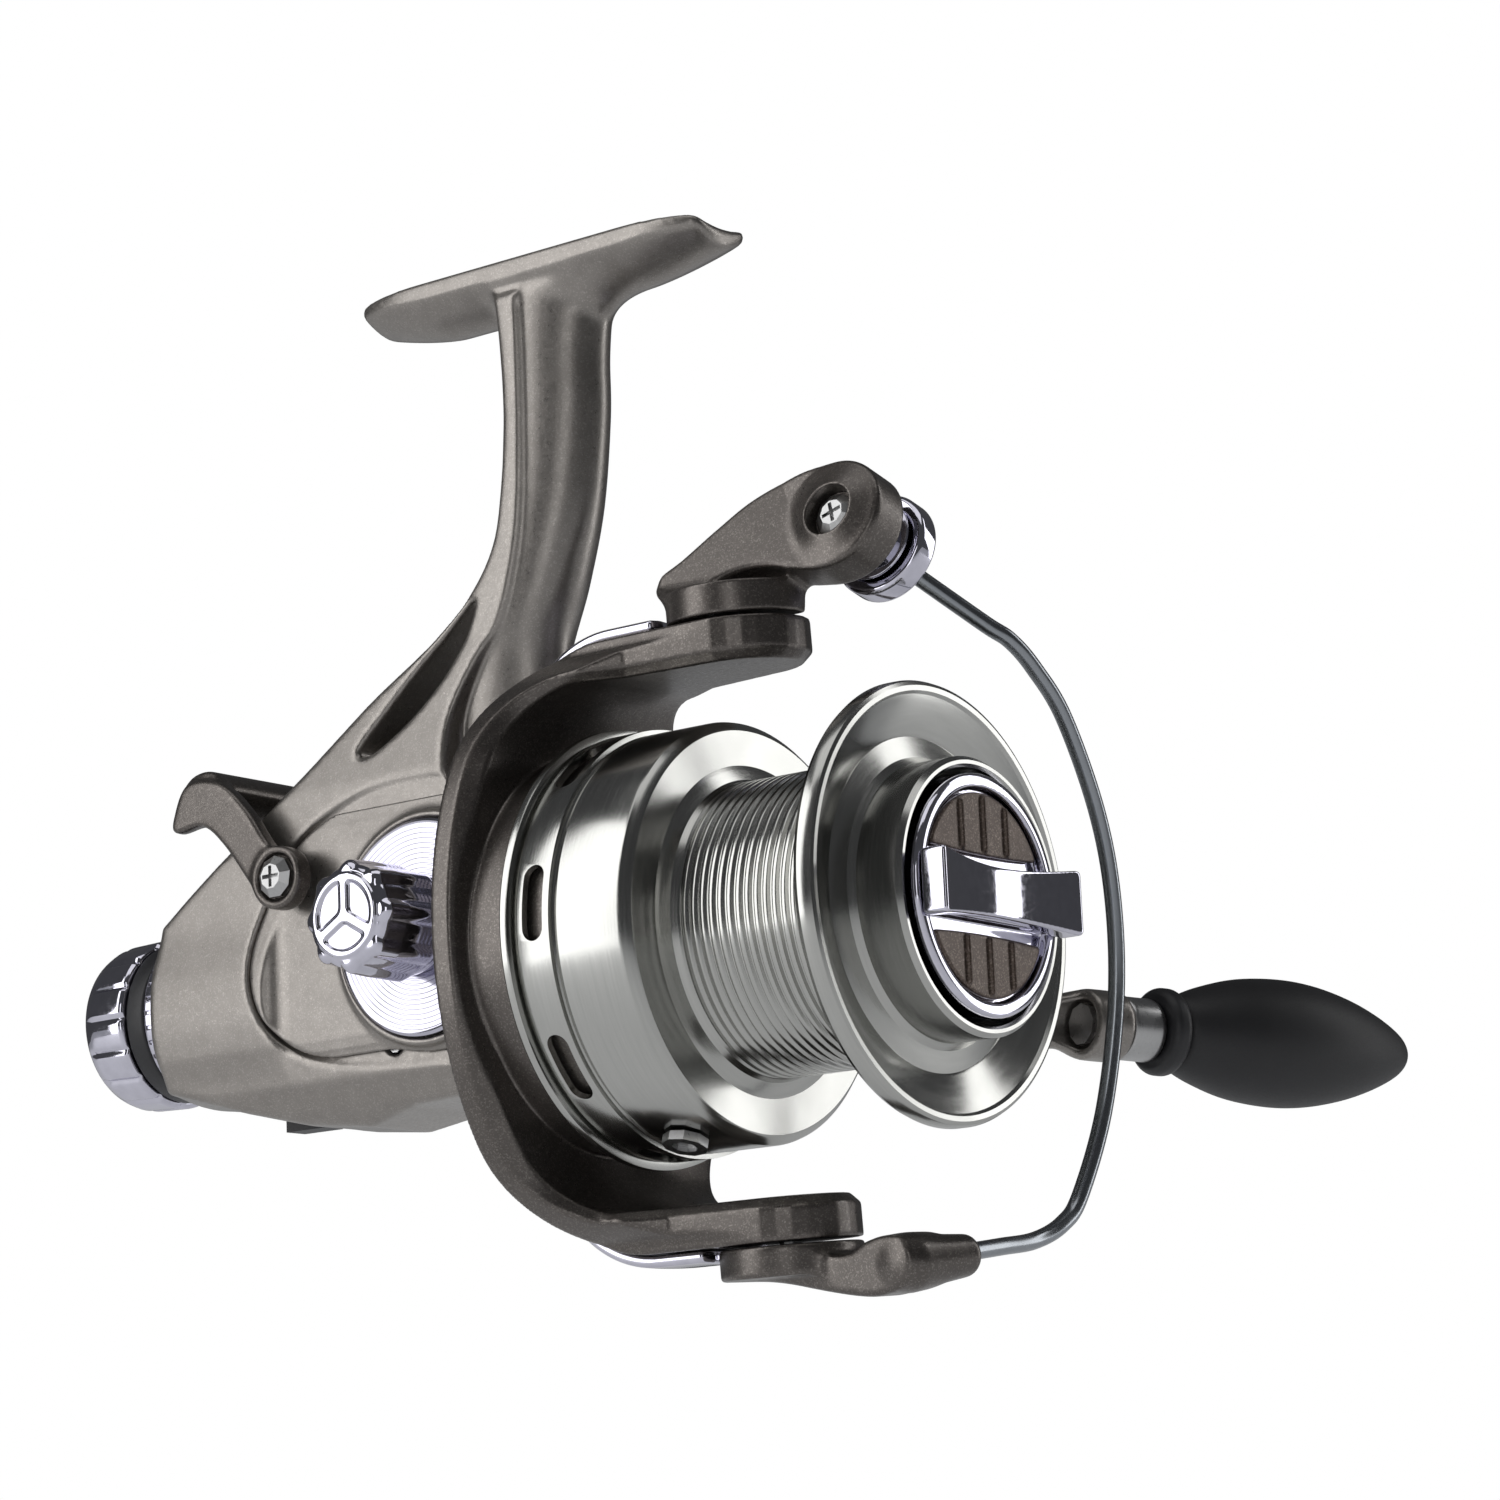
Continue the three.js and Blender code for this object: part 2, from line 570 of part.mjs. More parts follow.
// slider block clamped on the main shaft, with an upright slot for the crank pin
function slider() {
  const low = OSC_Z - CRANK_R - SLIDER_END;
  const high = OSC_Z + CRANK_R + SLIDER_END;
  const x = OSC_X + SLIDER_REST;
  const block = (half, z0, z1, y0, y1) =>
    slabY([[x - half, z0], [x + half, z0], [x + half, z1], [x - half, z1]], y0, y1);
  const plate = block(SLIDER_HALF, low, high, SLIDER_Y0, SLIDER_Y0 + 2);
  const slot = block(PIN_R + 0.4, low + 1.2, high - 1.2, SLIDER_Y0 + 0.9, 10);
  const hub = block(SLIDER_HALF, -3.2, 3.2, -SLIDER_Y0, SLIDER_Y0 + 0.8);
  return cut(join(plate, hub), slot, rod(SHAFT_R + RUN, OSC_X - 10, OSC_X + 10, 24));
}
add("oscillating_slider", slider(), STEEL);
const PIN_START = SLIDER_Y0 + 1.2;
const PIN_Z = OSC_Z + Math.sqrt(CRANK_R ** 2 - SLIDER_REST ** 2);
add("crank_pin", alongY(rod(PIN_R, PIN_START, OSC_Y0 - FIT, 16), OSC_X + SLIDER_REST, PIN_Z), STEEL);

const SHAFT_FRONT = 2.6;
const SHAFT_REAR = -122;
add("main_shaft", rod(SHAFT_R, SHAFT_REAR, SHAFT_FRONT, 24), STEEL);

function bearing(r, bore, width) {
  return turned([
    [bore, 0], [r, 0], [r, width], [r - 1, width], [r - 1.4, width - 0.5],
    [bore + 1.4, width - 0.5], [bore + 1, width], [bore, width],
  ], 28);
}
const onDrive = (body, y) => aimed(body, [DRIVE_X, y, DRIVE_Z], [0, 1, 0]);
const driveBearing = bearing(7.4, DRIVE_SHAFT_R + RUN, 3.6);
const coverBushing = tube(DRIVE_SHAFT_R + 0.8, DRIVE_SHAFT_R + RUN, 0, 3.4, 28);
add("drive_bearing", onDrive(driveBearing, CASE_HALF - 2), STEEL);
add("cover_bushing", onDrive(coverBushing, -CASE_HALF + 0.2), BRASS);
const pinionBearing = bearing(8.4, PINION_BODY_R + RUN, 4);
const CLUTCH_BACK = BOSS_FRONT - 10.6;
add("pinion_bearing", aimed(pinionBearing, [BOSS_FRONT - 4.4, 0, 0], [1, 0, 0]), STEEL);
add("one_way_clutch", tube(8.4, PINION_BODY_R + RUN, CLUTCH_BACK, CLUTCH_BACK + 5.6, 28), STEEL);

// ---------------------------------------------------------------- rotor
function rotorSide() {
  const inner = ROTOR_BACK + ROTOR_PLATE;
  const corner = ROTOR_CORNER;
  const innerZ = ARM_OUT - ARM_THICK;
  const upper = [
    [ARM_X + PIVOT_R, ARM_OUT],
    ...circle(corner, ROTOR_BACK + corner, ARM_OUT - corner, 8, Math.PI / 2, Math.PI),
  ];
  const lower = upper.map(([x, z]) => [x, -z]).reverse();
  const inside = [
    ...circle(INNER_CORNER, inner + INNER_CORNER, INNER_CORNER - innerZ, 8, Math.PI, 1.5 * Math.PI),
    [ARM_X - 8, -innerZ],
    [ARM_X + PIVOT_R, -innerZ - 1.5],
  ];
  const insideUp = inside.map(([x, z]) => [x, -z]).reverse();
  return [...upper, ...lower, ...inside.reverse(), ...insideUp.reverse()];
}

function rotorFront() {
  const right = Array.from({ length: 13 }, (_, i) => {
    const a = ((i - 6) / 6) * (Math.PI / 2);
    return [Math.max(31 * Math.cos(a), PIVOT_R), (ARM_OUT + 0.5) * Math.sin(a)];
  });
  const left = right.map(([y, z]) => [-y, z]).reverse();
  return [...right, ...left];
}

function rotorTop() {
  const tip = circle(PIVOT_R, ARM_X, 0, 12, -Math.PI / 2, Math.PI / 2);
  return [...tip, [-42, PIVOT_R + 1.5], [-52, 17], [-60, 32], [-64, 32], [-64, -32], [-60, -32],
    [-52, -17], [-42, -PIVOT_R - 1.5]];
}

function rotor() {
  const yoke = both(
    slabY(rotorSide(), -32, 32),
    slabX(rotorFront(), -70, -10),
    slabZ(rotorTop(), -50, 50),
  );
  const cup = tube(CUP_R, CUP_R - 1.8, ROTOR_BACK + 2, CUP_FRONT, 40);
  const web = tube(CUP_R - 1, PINION_BODY_R + FIT, CUP_FRONT - 2, CUP_FRONT, 40);
  const hub = tube(8, PINION_BODY_R + FIT, CUP_FRONT - 5.2, CUP_FRONT, 32);
  const bossHole = rod(BOSS_R + 0.6, -80, CUP_FRONT - 5, 40);
  const windows = [0, 1, 2, 3].map((i) => {
    const a = Math.PI / 4 + (i * Math.PI) / 2;
    return rod(5, CUP_FRONT - 4, CUP_FRONT + 4, 16, 17.5 * Math.cos(a), 17.5 * Math.sin(a));
  });
  const screws = [-1, 1].map((side) =>
    aimed(rod(1.9, 0, 20, 16), [ARM_X, 0, side * (ARM_OUT - 5)], [0, 0, side]));
  return cut(join(cut(join(yoke, cup), bossHole), web, hub), ...windows, ...screws);
}
add("rotor", rotor(), ROTOR_PAINT, rotorGroup);
add("rotor_nut", aimed(rotorNut(), [CUP_FRONT + FIT, 0, 0], [1, 0, 0]), STEEL, rotorGroup);

function rotorNut() {
  const hex = slabX(circle(6.6, 0, 0, 6), 0, 3);
  return cut(hex, rod(PINION_BODY_R + RUN, -5, 10, 24));
}

// curved bright covers on the outer corners of the rotor
const COVER_PLATE = 1.9;
function armCover(side) {
  const corner = ROTOR_CORNER + FIT;
  const cx = ROTOR_BACK + ROTOR_CORNER;
  const cz = ARM_OUT - ROTOR_CORNER;
  const from = Math.PI / 2 + 0.05;
  const to = Math.PI - 0.55;
  const outer = circle(corner + COVER_PLATE, cx, cz, 7, from, to);
  const inner = circle(corner, cx, cz, 7, from, to).reverse();
  const ahead = [[cx + 6, cz + corner], [cx + 5, cz + corner + COVER_PLATE]];
  const points = [...outer, ...inner, ...ahead].map(([x, z]) => [x, side * z]);
  return both(slabY(points, -8, 8), slabX(circle(11, 0, side * 36, 24), -70, -10));
}
add("arm_cover_upper", armCover(1), CHROME, rotorGroup);
add("arm_cover_lower", armCover(-1), CHROME, rotorGroup);

// ---------------------------------------------------------------- bail
const DISC_LOW = ARM_OUT + FIT;
const DISC_TOP = 47.5;
const PIVOT_TOP = DISC_TOP - 2.3; // outer ends of the pivot pins
const ROLLER_DIR = new THREE.Vector3(0.02, 0.949, -0.314).normalize();
const HEAD = new THREE.Vector3(-12.7, 3.7, 54.2); // middle of the roller end of the arm
const HEAD_IN = -3.4; // the two ends of the head along the roller's axis
const HEAD_OUT = 2.5;
const onRoller = (d) => HEAD.clone().addScaledVector(ROLLER_DIR, d).toArray();
const rollerPiece = (body) => aimed(body, onRoller(0), ROLLER_DIR.toArray());

// The arm's own axes: X along the roller, Y down the arm to its pivot.
function armAxes() {
  const down = new THREE.Vector3(-24.2, -4.2, -9).projectOnPlane(ROLLER_DIR).normalize();
  const third = new THREE.Vector3().crossVectors(ROLLER_DIR, down);
  return new THREE.Matrix4().makeBasis(ROLLER_DIR, down, third).setPosition(HEAD);
}

function bailArm() {
  const disc = aimed(rod(PIVOT_R, DISC_LOW, DISC_TOP, 28), [ARM_X, 0, 0], [0, 0, 1]);
  const side = smooth([
    [-5.2, 5.2], [-1, 7.5], [5, 8.2], [11, 7.9], [16.5, 6.5], [22, 4.7], [26, 3.4], [26.5, 1],
    [24, -1], [16, -0.5], [11.5, -2.6], [7.2, -5.6], [3.4, -7.2], [-2, -7], [-6.6, -3.4], [-7.2, 0],
  ], 30, true).slice(0, -1);
  const slab = solid(geometryOf(slabX(side, HEAD_IN - 0.6, HEAD_OUT)).applyMatrix4(armAxes()));
  const keep = slabZ([[-60, -20], [0, -20], [0, 20], [-60, 20]], DISC_LOW, 80);
  const head = rollerPiece(turned([
    [0, HEAD_IN - 1.4], [4.2, HEAD_IN - 1.2], [HEAD_R - 0.9, HEAD_IN - 0.2],
    [HEAD_R, HEAD_IN + 0.6], [HEAD_R, HEAD_OUT], [0, HEAD_OUT],
  ], 32));
  const recess = rollerPiece(rod(3.7, -12, HEAD_IN + 1.2, 20));
  const bore = rollerPiece(rod(1.7, -12, 12, 16));
  const pinBore = aimed(rod(1.9, DISC_LOW - 1, PIVOT_TOP + FIT, 16), [ARM_X, 0, 0], [0, 0, 1]);
  return cut(join(disc, both(slab, keep), head), recess, bore, pinBore);
}
add("bail_arm", bailArm(), ROTOR_PAINT, rotorGroup);

// the roller's bush, the roller, and the cap that holds the wire
const ROLLER_IN = HEAD_OUT + 2 * FIT;
const ROLLER_LONG = 3.3;
const CAP_IN = ROLLER_IN + ROLLER_LONG + 2 * FIT;
function rollerScrew() {
  const top = HEAD_IN - 0.4;
  const body = screw(3.1, 1.5, 1.5, CAP_IN + 0.9 - top);
  return aimed(body, onRoller(top), ROLLER_DIR.toArray().map((v) => -v));
}
add("roller_screw", rollerScrew(), STEEL, rotorGroup);
const bush = tube(2.5, 1.65, HEAD_OUT + FIT, CAP_IN - FIT, 20);
add("roller_bush", rollerPiece(bush), BLACK_PLASTIC, rotorGroup);
function rollerProfile() {
  const bore = 2.5 + RUN;
  const end = ROLLER_IN + ROLLER_LONG;
  return turned([
    [bore, ROLLER_IN], [ROLLER_R, ROLLER_IN], [ROLLER_R, ROLLER_IN + 0.5],
    [ROLLER_R - 1.5, ROLLER_IN + 1.2], [ROLLER_R - 1.5, end - 1.2], [ROLLER_R, end - 0.5],
    [ROLLER_R, end], [bore, end],
  ], 28);
}
add("line_roller", rollerPiece(rollerProfile()), CHROME, rotorGroup);

const WIRE_POINTS = [
  [-9.2, 11.6, 48.1], [-7.8, 13.4, 46.3], [-2.6, 20.2, 39.8], [-0.7, 23.2, 37.4], [0.2, 27.2, 33.7],
  [0.8, 32.8, 27], [0.6, 39.4, 14.1], [0.1, 42.2, 1.8], [-1.1, 42.4, -12.2], [-2.7, 39, -27.5],
  [-3.8, 32.5, -39.2], [-4.3, 28, -43], [-5.1, 22, -45], [-5.2, 13.6, -45.6], [-5.4, 4, -46.2],
];
const WIRE_START = WIRE_POINTS[0];
function wireCap() {
  const cup = turned([
    [1.65, CAP_IN], [CAP_R - 0.6, CAP_IN], [CAP_R, CAP_IN + 0.5], [CAP_R, CAP_IN + 3.4],
    [CAP_R - 0.8, CAP_IN + 4], [0, CAP_IN + 4.2], [0, CAP_IN + 1.2], [1.65, CAP_IN + 1.2],
  ], 32);
  return cut(rollerPiece(cup), wireSocket(WIRE_START, WIRE_POINTS[1]));
}

function wireSocket(from, to) {
  const dir = new THREE.Vector3(...from).sub(new THREE.Vector3(...to)).normalize();
  const at = new THREE.Vector3(...from).addScaledVector(dir, -6);
  return aimed(rod(WIRE_R + FIT, 0, 6 + FIT, 16), at.toArray(), dir.toArray());
}
add("wire_cap", wireCap(), CHROME, rotorGroup);

function bailWire() {
  const path = new THREE.CatmullRomCurve3(
    WIRE_POINTS.map((p) => new THREE.Vector3(...p)), false, "centripetal");
  const section = outline(circle(WIRE_R, 0, 0, 8));
  const options = { steps: 32, extrudePath: path, bevelEnabled: false };
  return solid(new THREE.ExtrudeGeometry(section, options));
}
add("bail_wire", bailWire(), WIRE_STEEL, rotorGroup);

function lowerBailArm() {
  const disc = aimed(rod(PIVOT_R, DISC_LOW, DISC_TOP, 28), [ARM_X, 0, 0], [0, 0, -1]);
  const side = smooth([
    [-35, -44], [-26, -44.4], [-17.7, -44.8], [-14.5, -43.5], [-11, -43.1], [-7.4, -43.4],
    [-6, -46], [-7.6, -49.8], [-12, -50.9], [-17, -50.4], [-24, -48.8], [-31, -47.1], [-36, -46],
  ], 30, true).slice(0, -1);
  const paddle = slabY(side, -5.2, 0.6);
  const socket = bar([
    [-8.6, -3.4, -46.9, 3.9, 3.8], [-7, 1.5, -46.7, 3.5, 3.5], [-5.3, 6.4, -46.4, 2.7, 2.7],
  ], 4, 20, [0, 0, 1]);
  const pinBore = aimed(rod(1.9, DISC_LOW - 1, PIVOT_TOP + FIT, 16), [ARM_X, 0, 0], [0, 0, -1]);
  const keep = slabZ([[-60, -20], [20, -20], [20, 20], [-60, 20]], -80, -DISC_LOW);
  const hole = WIRE_R + FIT;
  const [before, end] = WIRE_POINTS.slice(-2);
  const start = end.map((v, i) => v - (before[i] - v) * 0.06);
  const wireHole = bar([[...start, hole, hole], [...before, hole, hole]], 2, 16, [0, 0, 1]);
  return cut(both(join(disc, paddle, socket), keep), pinBore, wireHole);
}
add("bail_arm_lower", lowerBailArm(), ROTOR_PAINT, rotorGroup);

// pivot pins that the two bail arms turn on, pressed into the rotor arms
for (const [name, side] of [["bail_pivot_upper", 1], ["bail_pivot_lower", -1]]) {
  const body = aimed(rod(1.6, ARM_OUT - 4.6, PIVOT_TOP, 16), [ARM_X, 0, 0], [0, 0, side]);
  add(name, body, STEEL, rotorGroup);
}

// ---------------------------------------------------------------- spool and its drag
const RECESS_X = -4.5; // floor of the drag stack's recess
function spoolProfile() {
  return [
    [HUB_BORE_R, RECESS_X], [HUB_BORE_R, HUB_FRONT], [HUB_R - 0.6, HUB_FRONT], [HUB_R, HUB_FRONT - 0.7],
    [HUB_R, -1], [HUB_R + 0.9, -1.6], [22.8, -2.4], [28.2, -0.4], [28.8, 0], [LIP_R - 0.7, 0],
    [LIP_R, -0.8], [LIP_R, -2.4], [LIP_R - 0.6, -3], [23, -4.6], [ARBOR_R, -6],
    [ARBOR_R, ARBOR_BACK + 1.4], [22.2, ARBOR_BACK - 0.4], [28, ARBOR_BACK - 0.4],
    [SKIRT_R, ARBOR_BACK - 1.8], [SKIRT_R, -43], [SKIRT_BAND_R, -43.6], [SKIRT_BAND_R, -49.2],
    [SKIRT_END_R, -49.9], [SKIRT_END_R, SKIRT_BACK], [SKIRT_R - 0.4, SKIRT_BACK],
    [SKIRT_R - 0.4, ARBOR_BACK - 2.8], [27.4, ARBOR_BACK - 2.2], [ARBOR_R - 1.6, ARBOR_BACK - 2.2],
    [ARBOR_R - 2.2, ARBOR_BACK], [ARBOR_R - 2.2, -8.5], [6, -9], [5, ARBOR_BACK + 2],
    [SHAFT_R + RUN, ARBOR_BACK + 2], [SHAFT_R + RUN, RECESS_X],
  ];
}
function spool() {
  const turnedBody = turned(spoolProfile(), 44);
  const slots = Array.from({ length: HOLES }, (_, i) => {
    const a = (i * 2 * Math.PI) / HOLES - 0.1;
    const x = -46.3;
    const half = 3.5;
    const points = [
      ...circle(1.75, 0, half, 4, 0, Math.PI), ...circle(1.75, 0, -half, 4, Math.PI, 2 * Math.PI),
    ].map(([c, s]) => [x + c, s]);
    const geometry = geometryOf(slabZ(points, 20, 40)).rotateX(a - Math.PI / 2);
    return solid(geometry);
  });
  return cut(turnedBody, ...slots);
}
add("spool", spool(), BRIGHT);

// small spring clip that holds the loose end of the line
function lineClip() {
  const body = cut(rod(3.2, SKIRT_R + FIT, SKIRT_R + 1.6, 20), rod(1.8, SKIRT_R + 1, SKIRT_R + 3, 16));
  return aimed(body, [-38, 0, 0], [0, -0.3, -0.954]);
}
add("line_clip", lineClip(), STEEL);

// drag stack: felt and steel washers, then the spring clip that keeps them in
const WASHER_R = HUB_BORE_R - 0.5;
const WASHER_BORE = SHAFT_R + 0.4;
let washerX = RECESS_X + FIT;
[["drag_felt_1", 1, FELT], ["drag_washer_keyed", 0.8, STEEL], ["drag_felt_2", 1, FELT],
  ["drag_washer_eared", 0.8, STEEL]].forEach(([name, thick, material]) => {
  add(name, tube(WASHER_R, WASHER_BORE, washerX, washerX + thick, 30), material);
  washerX += thick + FIT;
});

// front drag knob: fluted-edge ring, two brown inserts and the raised bright grip
const KNOB_BACK = washerX + 0.2;
const KNOB_FACE = 7.2;
const KNOB_RIM = HUB_BORE_R - 0.9;
const INSERT_R = KNOB_RIM - 2.2;
const INSERT_INNER = 5; // half the height of the grip's channel
function dragKnob() {
  const disc = turned([
    [SHAFT_R + FIT, KNOB_BACK], [KNOB_RIM - 0.8, KNOB_BACK], [KNOB_RIM, KNOB_BACK + 0.5],
    [KNOB_RIM, KNOB_FACE - 1], [KNOB_RIM - 0.8, KNOB_FACE], [0, KNOB_FACE], [0, SHAFT_FRONT + 0.5],
    [SHAFT_R + FIT, SHAFT_FRONT + 0.5],
  ], 40);
  const pockets = [-1, 1].map((side) =>
    insertBlock(side, INSERT_R, INSERT_INNER, KNOB_FACE - 1.6, 20));
  return cut(disc, ...pockets);
}
function insertBlock(side, r, low, x0, x1) {
  const a = Math.asin(low / r);
  const points = circle(r, 0, 0, 14, a, Math.PI - a).map(([y, z]) => [y, side * z]);
  return slabX(points, x0, x1);
}
function knobInsert(side) {
  const plate = insertBlock(side, INSERT_R - FIT, INSERT_INNER + FIT, KNOB_FACE - 1.3, KNOB_FACE - 0.3);
  const ribs = [-5, 0, 5].map((y) => {
    const high = Math.sqrt((INSERT_R - 1.4) ** 2 - y * y) - 0.4;
    const low = INSERT_INNER + 1;
    const points = [[-0.4, low], [0.4, low], [0.4, high], [-0.4, high]]
      .map(([across, z]) => [y + across, side * z]);
    return slabX(points, KNOB_FACE - 1, KNOB_FACE + 0.3);
  });
  return join(plate, ...ribs);
}
function knobGrip() {
  const end = KNOB_RIM;
  const side = [[-end + 0.4, 4.5], [-end / 2, 4], [0, 3.5], [end / 2, 4], [end - 0.4, 4.5], [end, 0]];
  const points = smooth([...side, ...side.map(([y, z]) => [-y, -z])], 36, true).slice(0, -1);
  return slabX(points, KNOB_FACE + FIT, KNOB_FACE + 4.4);
}
add("drag_knob", dragKnob(), CHROME);
add("drag_knob_insert_upper", knobInsert(1), INSERT_PAINT);
add("drag_knob_insert_lower", knobInsert(-1), INSERT_PAINT);
add("drag_knob_grip", knobGrip(), CHROME);

// ---------------------------------------------------------------- bait feeder
const FEEDER_BACK = -151;
function feederKnob() {
  const shell = turned([
    [0, FEEDER_BACK], [9.5, FEEDER_BACK], [11.6, FEEDER_BACK + 0.9], [12.5, FEEDER_BACK + 2.6],
    [13, FEEDER_BACK + 9.8], [5.2, FEEDER_BACK + 9.8], [5.2, FEEDER_BACK + 4], [0, FEEDER_BACK + 4],
  ], 40);
  const grooves = Array.from({ length: 14 }, (_, i) => {
    const a = (i * 2 * Math.PI) / 14;
    return rod(0.8, FEEDER_BACK + 2.6, FEEDER_BACK + 20, 6, 13.2 * Math.cos(a), 13.2 * Math.sin(a));
  });
  return cut(shell, ...grooves);
}
add("feeder_knob", feederKnob(), CHROME);
add("feeder_band", tube(12.2, 5.8, FEEDER_BACK + 10.1, INDEX_FRONT - 4, 36), BLACK_PLASTIC);

// threaded sleeve that the feeder knob turns on, and the friction washers in front of it
function feederSleeve() {
  return tube(4.9, SHAFT_R + RUN, FEEDER_BACK + 4.5, -126.5, 28);
}
add("feeder_sleeve", feederSleeve(), BRASS);
add("feeder_felt", tube(5.2, SHAFT_R + RUN, -126.2, -125, 24), FELT);
add("feeder_washer", tube(5.2, SHAFT_R + RUN, -124.7, -123.7, 24), STEEL);
function feederSpring() {
  const turns = 4;
  const from = -123.4;
  const to = -113;
  class Coil extends THREE.Curve {
    getPoint(t) {
      const a = t * turns * 2 * Math.PI;
      return new THREE.Vector3(from + 0.5 + (to - from - 1) * t, 3.9 * Math.cos(a), 3.9 * Math.sin(a));
    }
  }
  const section = outline(circle(0.5, 0, 0, 5));
  const options = { steps: 48, extrudePath: new Coil(), bevelEnabled: false };
  return solid(new THREE.ExtrudeGeometry(section, options));
}
add("feeder_spring", feederSpring(), STEEL);

// forked lever over the rear of the case
const CHEEK_IN = CASE_HALF + 1;
const CHEEK_OUT = CASE_HALF + 3.8;
function leverCheek(side) {
  const [px, pz] = LEVER_PIVOT;
  const points = [
    ...circle(4.4, px, pz, 12, -2.6, 0.9),
    [px - 2, pz + 5.4], [px - 6, pz + 10.5], [px - 11, pz + 15], [px - 17.5, pz + 16.2],
    [px - 20.2, pz + 13.4], [px - 20.4, pz + 10.2], [px - 15.5, pz + 10], [px - 10.5, pz + 6],
  ];
  const [y0, y1] = side > 0 ? [CHEEK_IN, CHEEK_OUT] : [-CHEEK_OUT, -CHEEK_IN];
  return slabY(points, y0, y1);
}
function feederLever() {
  const [px, pz] = LEVER_PIVOT;
  const bridge = slabY([
    [px - 19.6, pz + 11.5], [px - 14.5, pz + 11.8], [px - 11, pz + 15], [px - 14, pz + 18.2],
    [px - 18.4, pz + 18], [px - 20.6, pz + 14.4],
  ], -CHEEK_IN - 0.5, CHEEK_IN + 0.5);
  const bore = slabY(circle(1.9, px, pz, 16), -30, 30);
  const sinks = [-1, 1].map((side) => aimed(rod(3.5, CHEEK_OUT - 1, 30, 20), [px, 0, pz], [0, side, 0]));
  return cut(join(leverCheek(1), leverCheek(-1), bridge), bore, ...sinks);
}
add("feeder_lever", feederLever(), ROTOR_PAINT);
for (const [name, side] of [["lever_screw_left", -1], ["lever_screw_right", 1]]) {
  const body = screw(3.1, 1.9, 1.4, 10.6);
  add(name, aimed(body, [LEVER_PIVOT[0], side * (CHEEK_OUT + 1.2), LEVER_PIVOT[1]], [0, side, 0]), STEEL);
}

// ---------------------------------------------------------------- handle
// lobed cap on the left: the head of the long screw that pulls the handle into the drive gear
function screwCap() {
  const head = turned([
    [0, 0], [5.6, 0], [5.6, 0.6], [7.6, 1.4], [8, 5], [8, 13], [7, 15], [5.6, 15.8], [0, 16],
  ], 32);
  const flutes = Array.from({ length: 8 }, (_, i) => {
    const a = (i * Math.PI) / 4;
    return rod(1.6, 4.5, 30, 10, 9 * Math.cos(a), 9 * Math.sin(a));
  });
  const shank = rod(1.6, -10, 1, 16);
  return aimed(join(cut(head, ...flutes), shank), [DRIVE_X, TRIM_FACE - 0.5, DRIVE_Z], [0, -1, 0]);
}
add("handle_screw_cap", screwCap(), CHROME);

const SHANK_START = CASE_HALF + 5.3;
function handleShank() {
  const body = turned([
    [0, SHANK_START], [6.4, SHANK_START], [7, SHANK_START + 1], [5.4, SHANK_START + 4.4],
    [4.6, HANDLE_Y - 6], [5.4, HANDLE_Y - 5], [5.4, HANDLE_Y - 3.6], [0, HANDLE_Y - 3.6],
  ], 28);
  return alongY(body, DRIVE_X, DRIVE_Z);
}
add("handle_shank", handleShank(), BODY_PAINT);

const KNOB_AT = new THREE.Vector3(-15.6, 66, -9.6); // outer face of the handle's knob end
const KNOB_DIR = new THREE.Vector3(0.37, 0.925, -0.05).normalize();
const onKnob = (d) => KNOB_AT.clone().addScaledVector(KNOB_DIR, d).toArray();
const knobPiece = (body) => aimed(body, KNOB_AT.toArray(), KNOB_DIR.toArray());

function handleArm() {
  const bossLength = 6.4;
  const mid = onKnob(-bossLength / 2);
  const arm = bar([
    [DRIVE_X - 4, HANDLE_Y, DRIVE_Z + 0.8, 5, 3], [DRIVE_X + 4, HANDLE_Y + 0.4, DRIVE_Z - 0.6, 5.6, 3.2],
    [-58, 41, 0.5, 4.8, 3], [-36, 53, -5.2, 4.4, 2.8], [mid[0] - 5, mid[1] - 2.4, mid[2] + 1, 4.2, 2.8],
    [mid[0] + 1, mid[1], mid[2], 3.6, 2.4],
  ], 16, 14);
  const hub = alongY(rod(5.6, HANDLE_Y - 3.3, HANDLE_Y + 3.6, 28), DRIVE_X, DRIVE_Z);
  const boss = knobPiece(rod(5.3, -bossLength, 0, 28));
  const bore = knobPiece(rod(2.2, -20, 20, 20));
  const rivetSeat = knobPiece(rod(3.6, -20, 1.2 - bossLength, 20));
  return cut(join(arm, hub, boss), bore, rivetSeat);
}
add("handle_arm", handleArm(), BODY_PAINT);

const COLLAR_END = 6;
function knobSpindle() {
  return knobPiece(turned([
    [0, -6.6], [3.1, -6.4], [3.1, -5.5], [1.9, -5.5], [1.9, COLLAR_END + 28], [0, COLLAR_END + 28],
  ], 20));
}
add("knob_spindle", knobSpindle(), STEEL);
add("knob_collar", knobPiece(tube(4.7, 2.1, FIT, COLLAR_END, 28)), STEEL);
add("knob_neck", knobPiece(tube(6.4, 2.1, COLLAR_END + FIT, COLLAR_END + 3.4, 28)), BLACK_PLASTIC);

function knobGripBody() {
  const start = COLLAR_END + 3.7;
  const stops = [
    [0.01, 4.6], [0.08, 6.4], [0.2, 8.4], [0.36, KNOB_R], [0.52, KNOB_R], [0.68, 8.4], [0.82, 6.1],
    [0.93, 3.5], [0.985, 1.6],
  ].map(([t, r]) => [r, start + t * KNOB_LENGTH]);
  const socket = [[0, start + 29], [2.1, start + 29], [2.1, start], [4, start]];
  const profile = [...socket, ...stops, [0, start + KNOB_LENGTH]];
  return knobPiece(turned(profile, 32));
}
add("knob_grip", knobGripBody(), RUBBER);

export default reel;
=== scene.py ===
import json
import math

import bpy
import numpy as np
from mathutils import Matrix, Vector


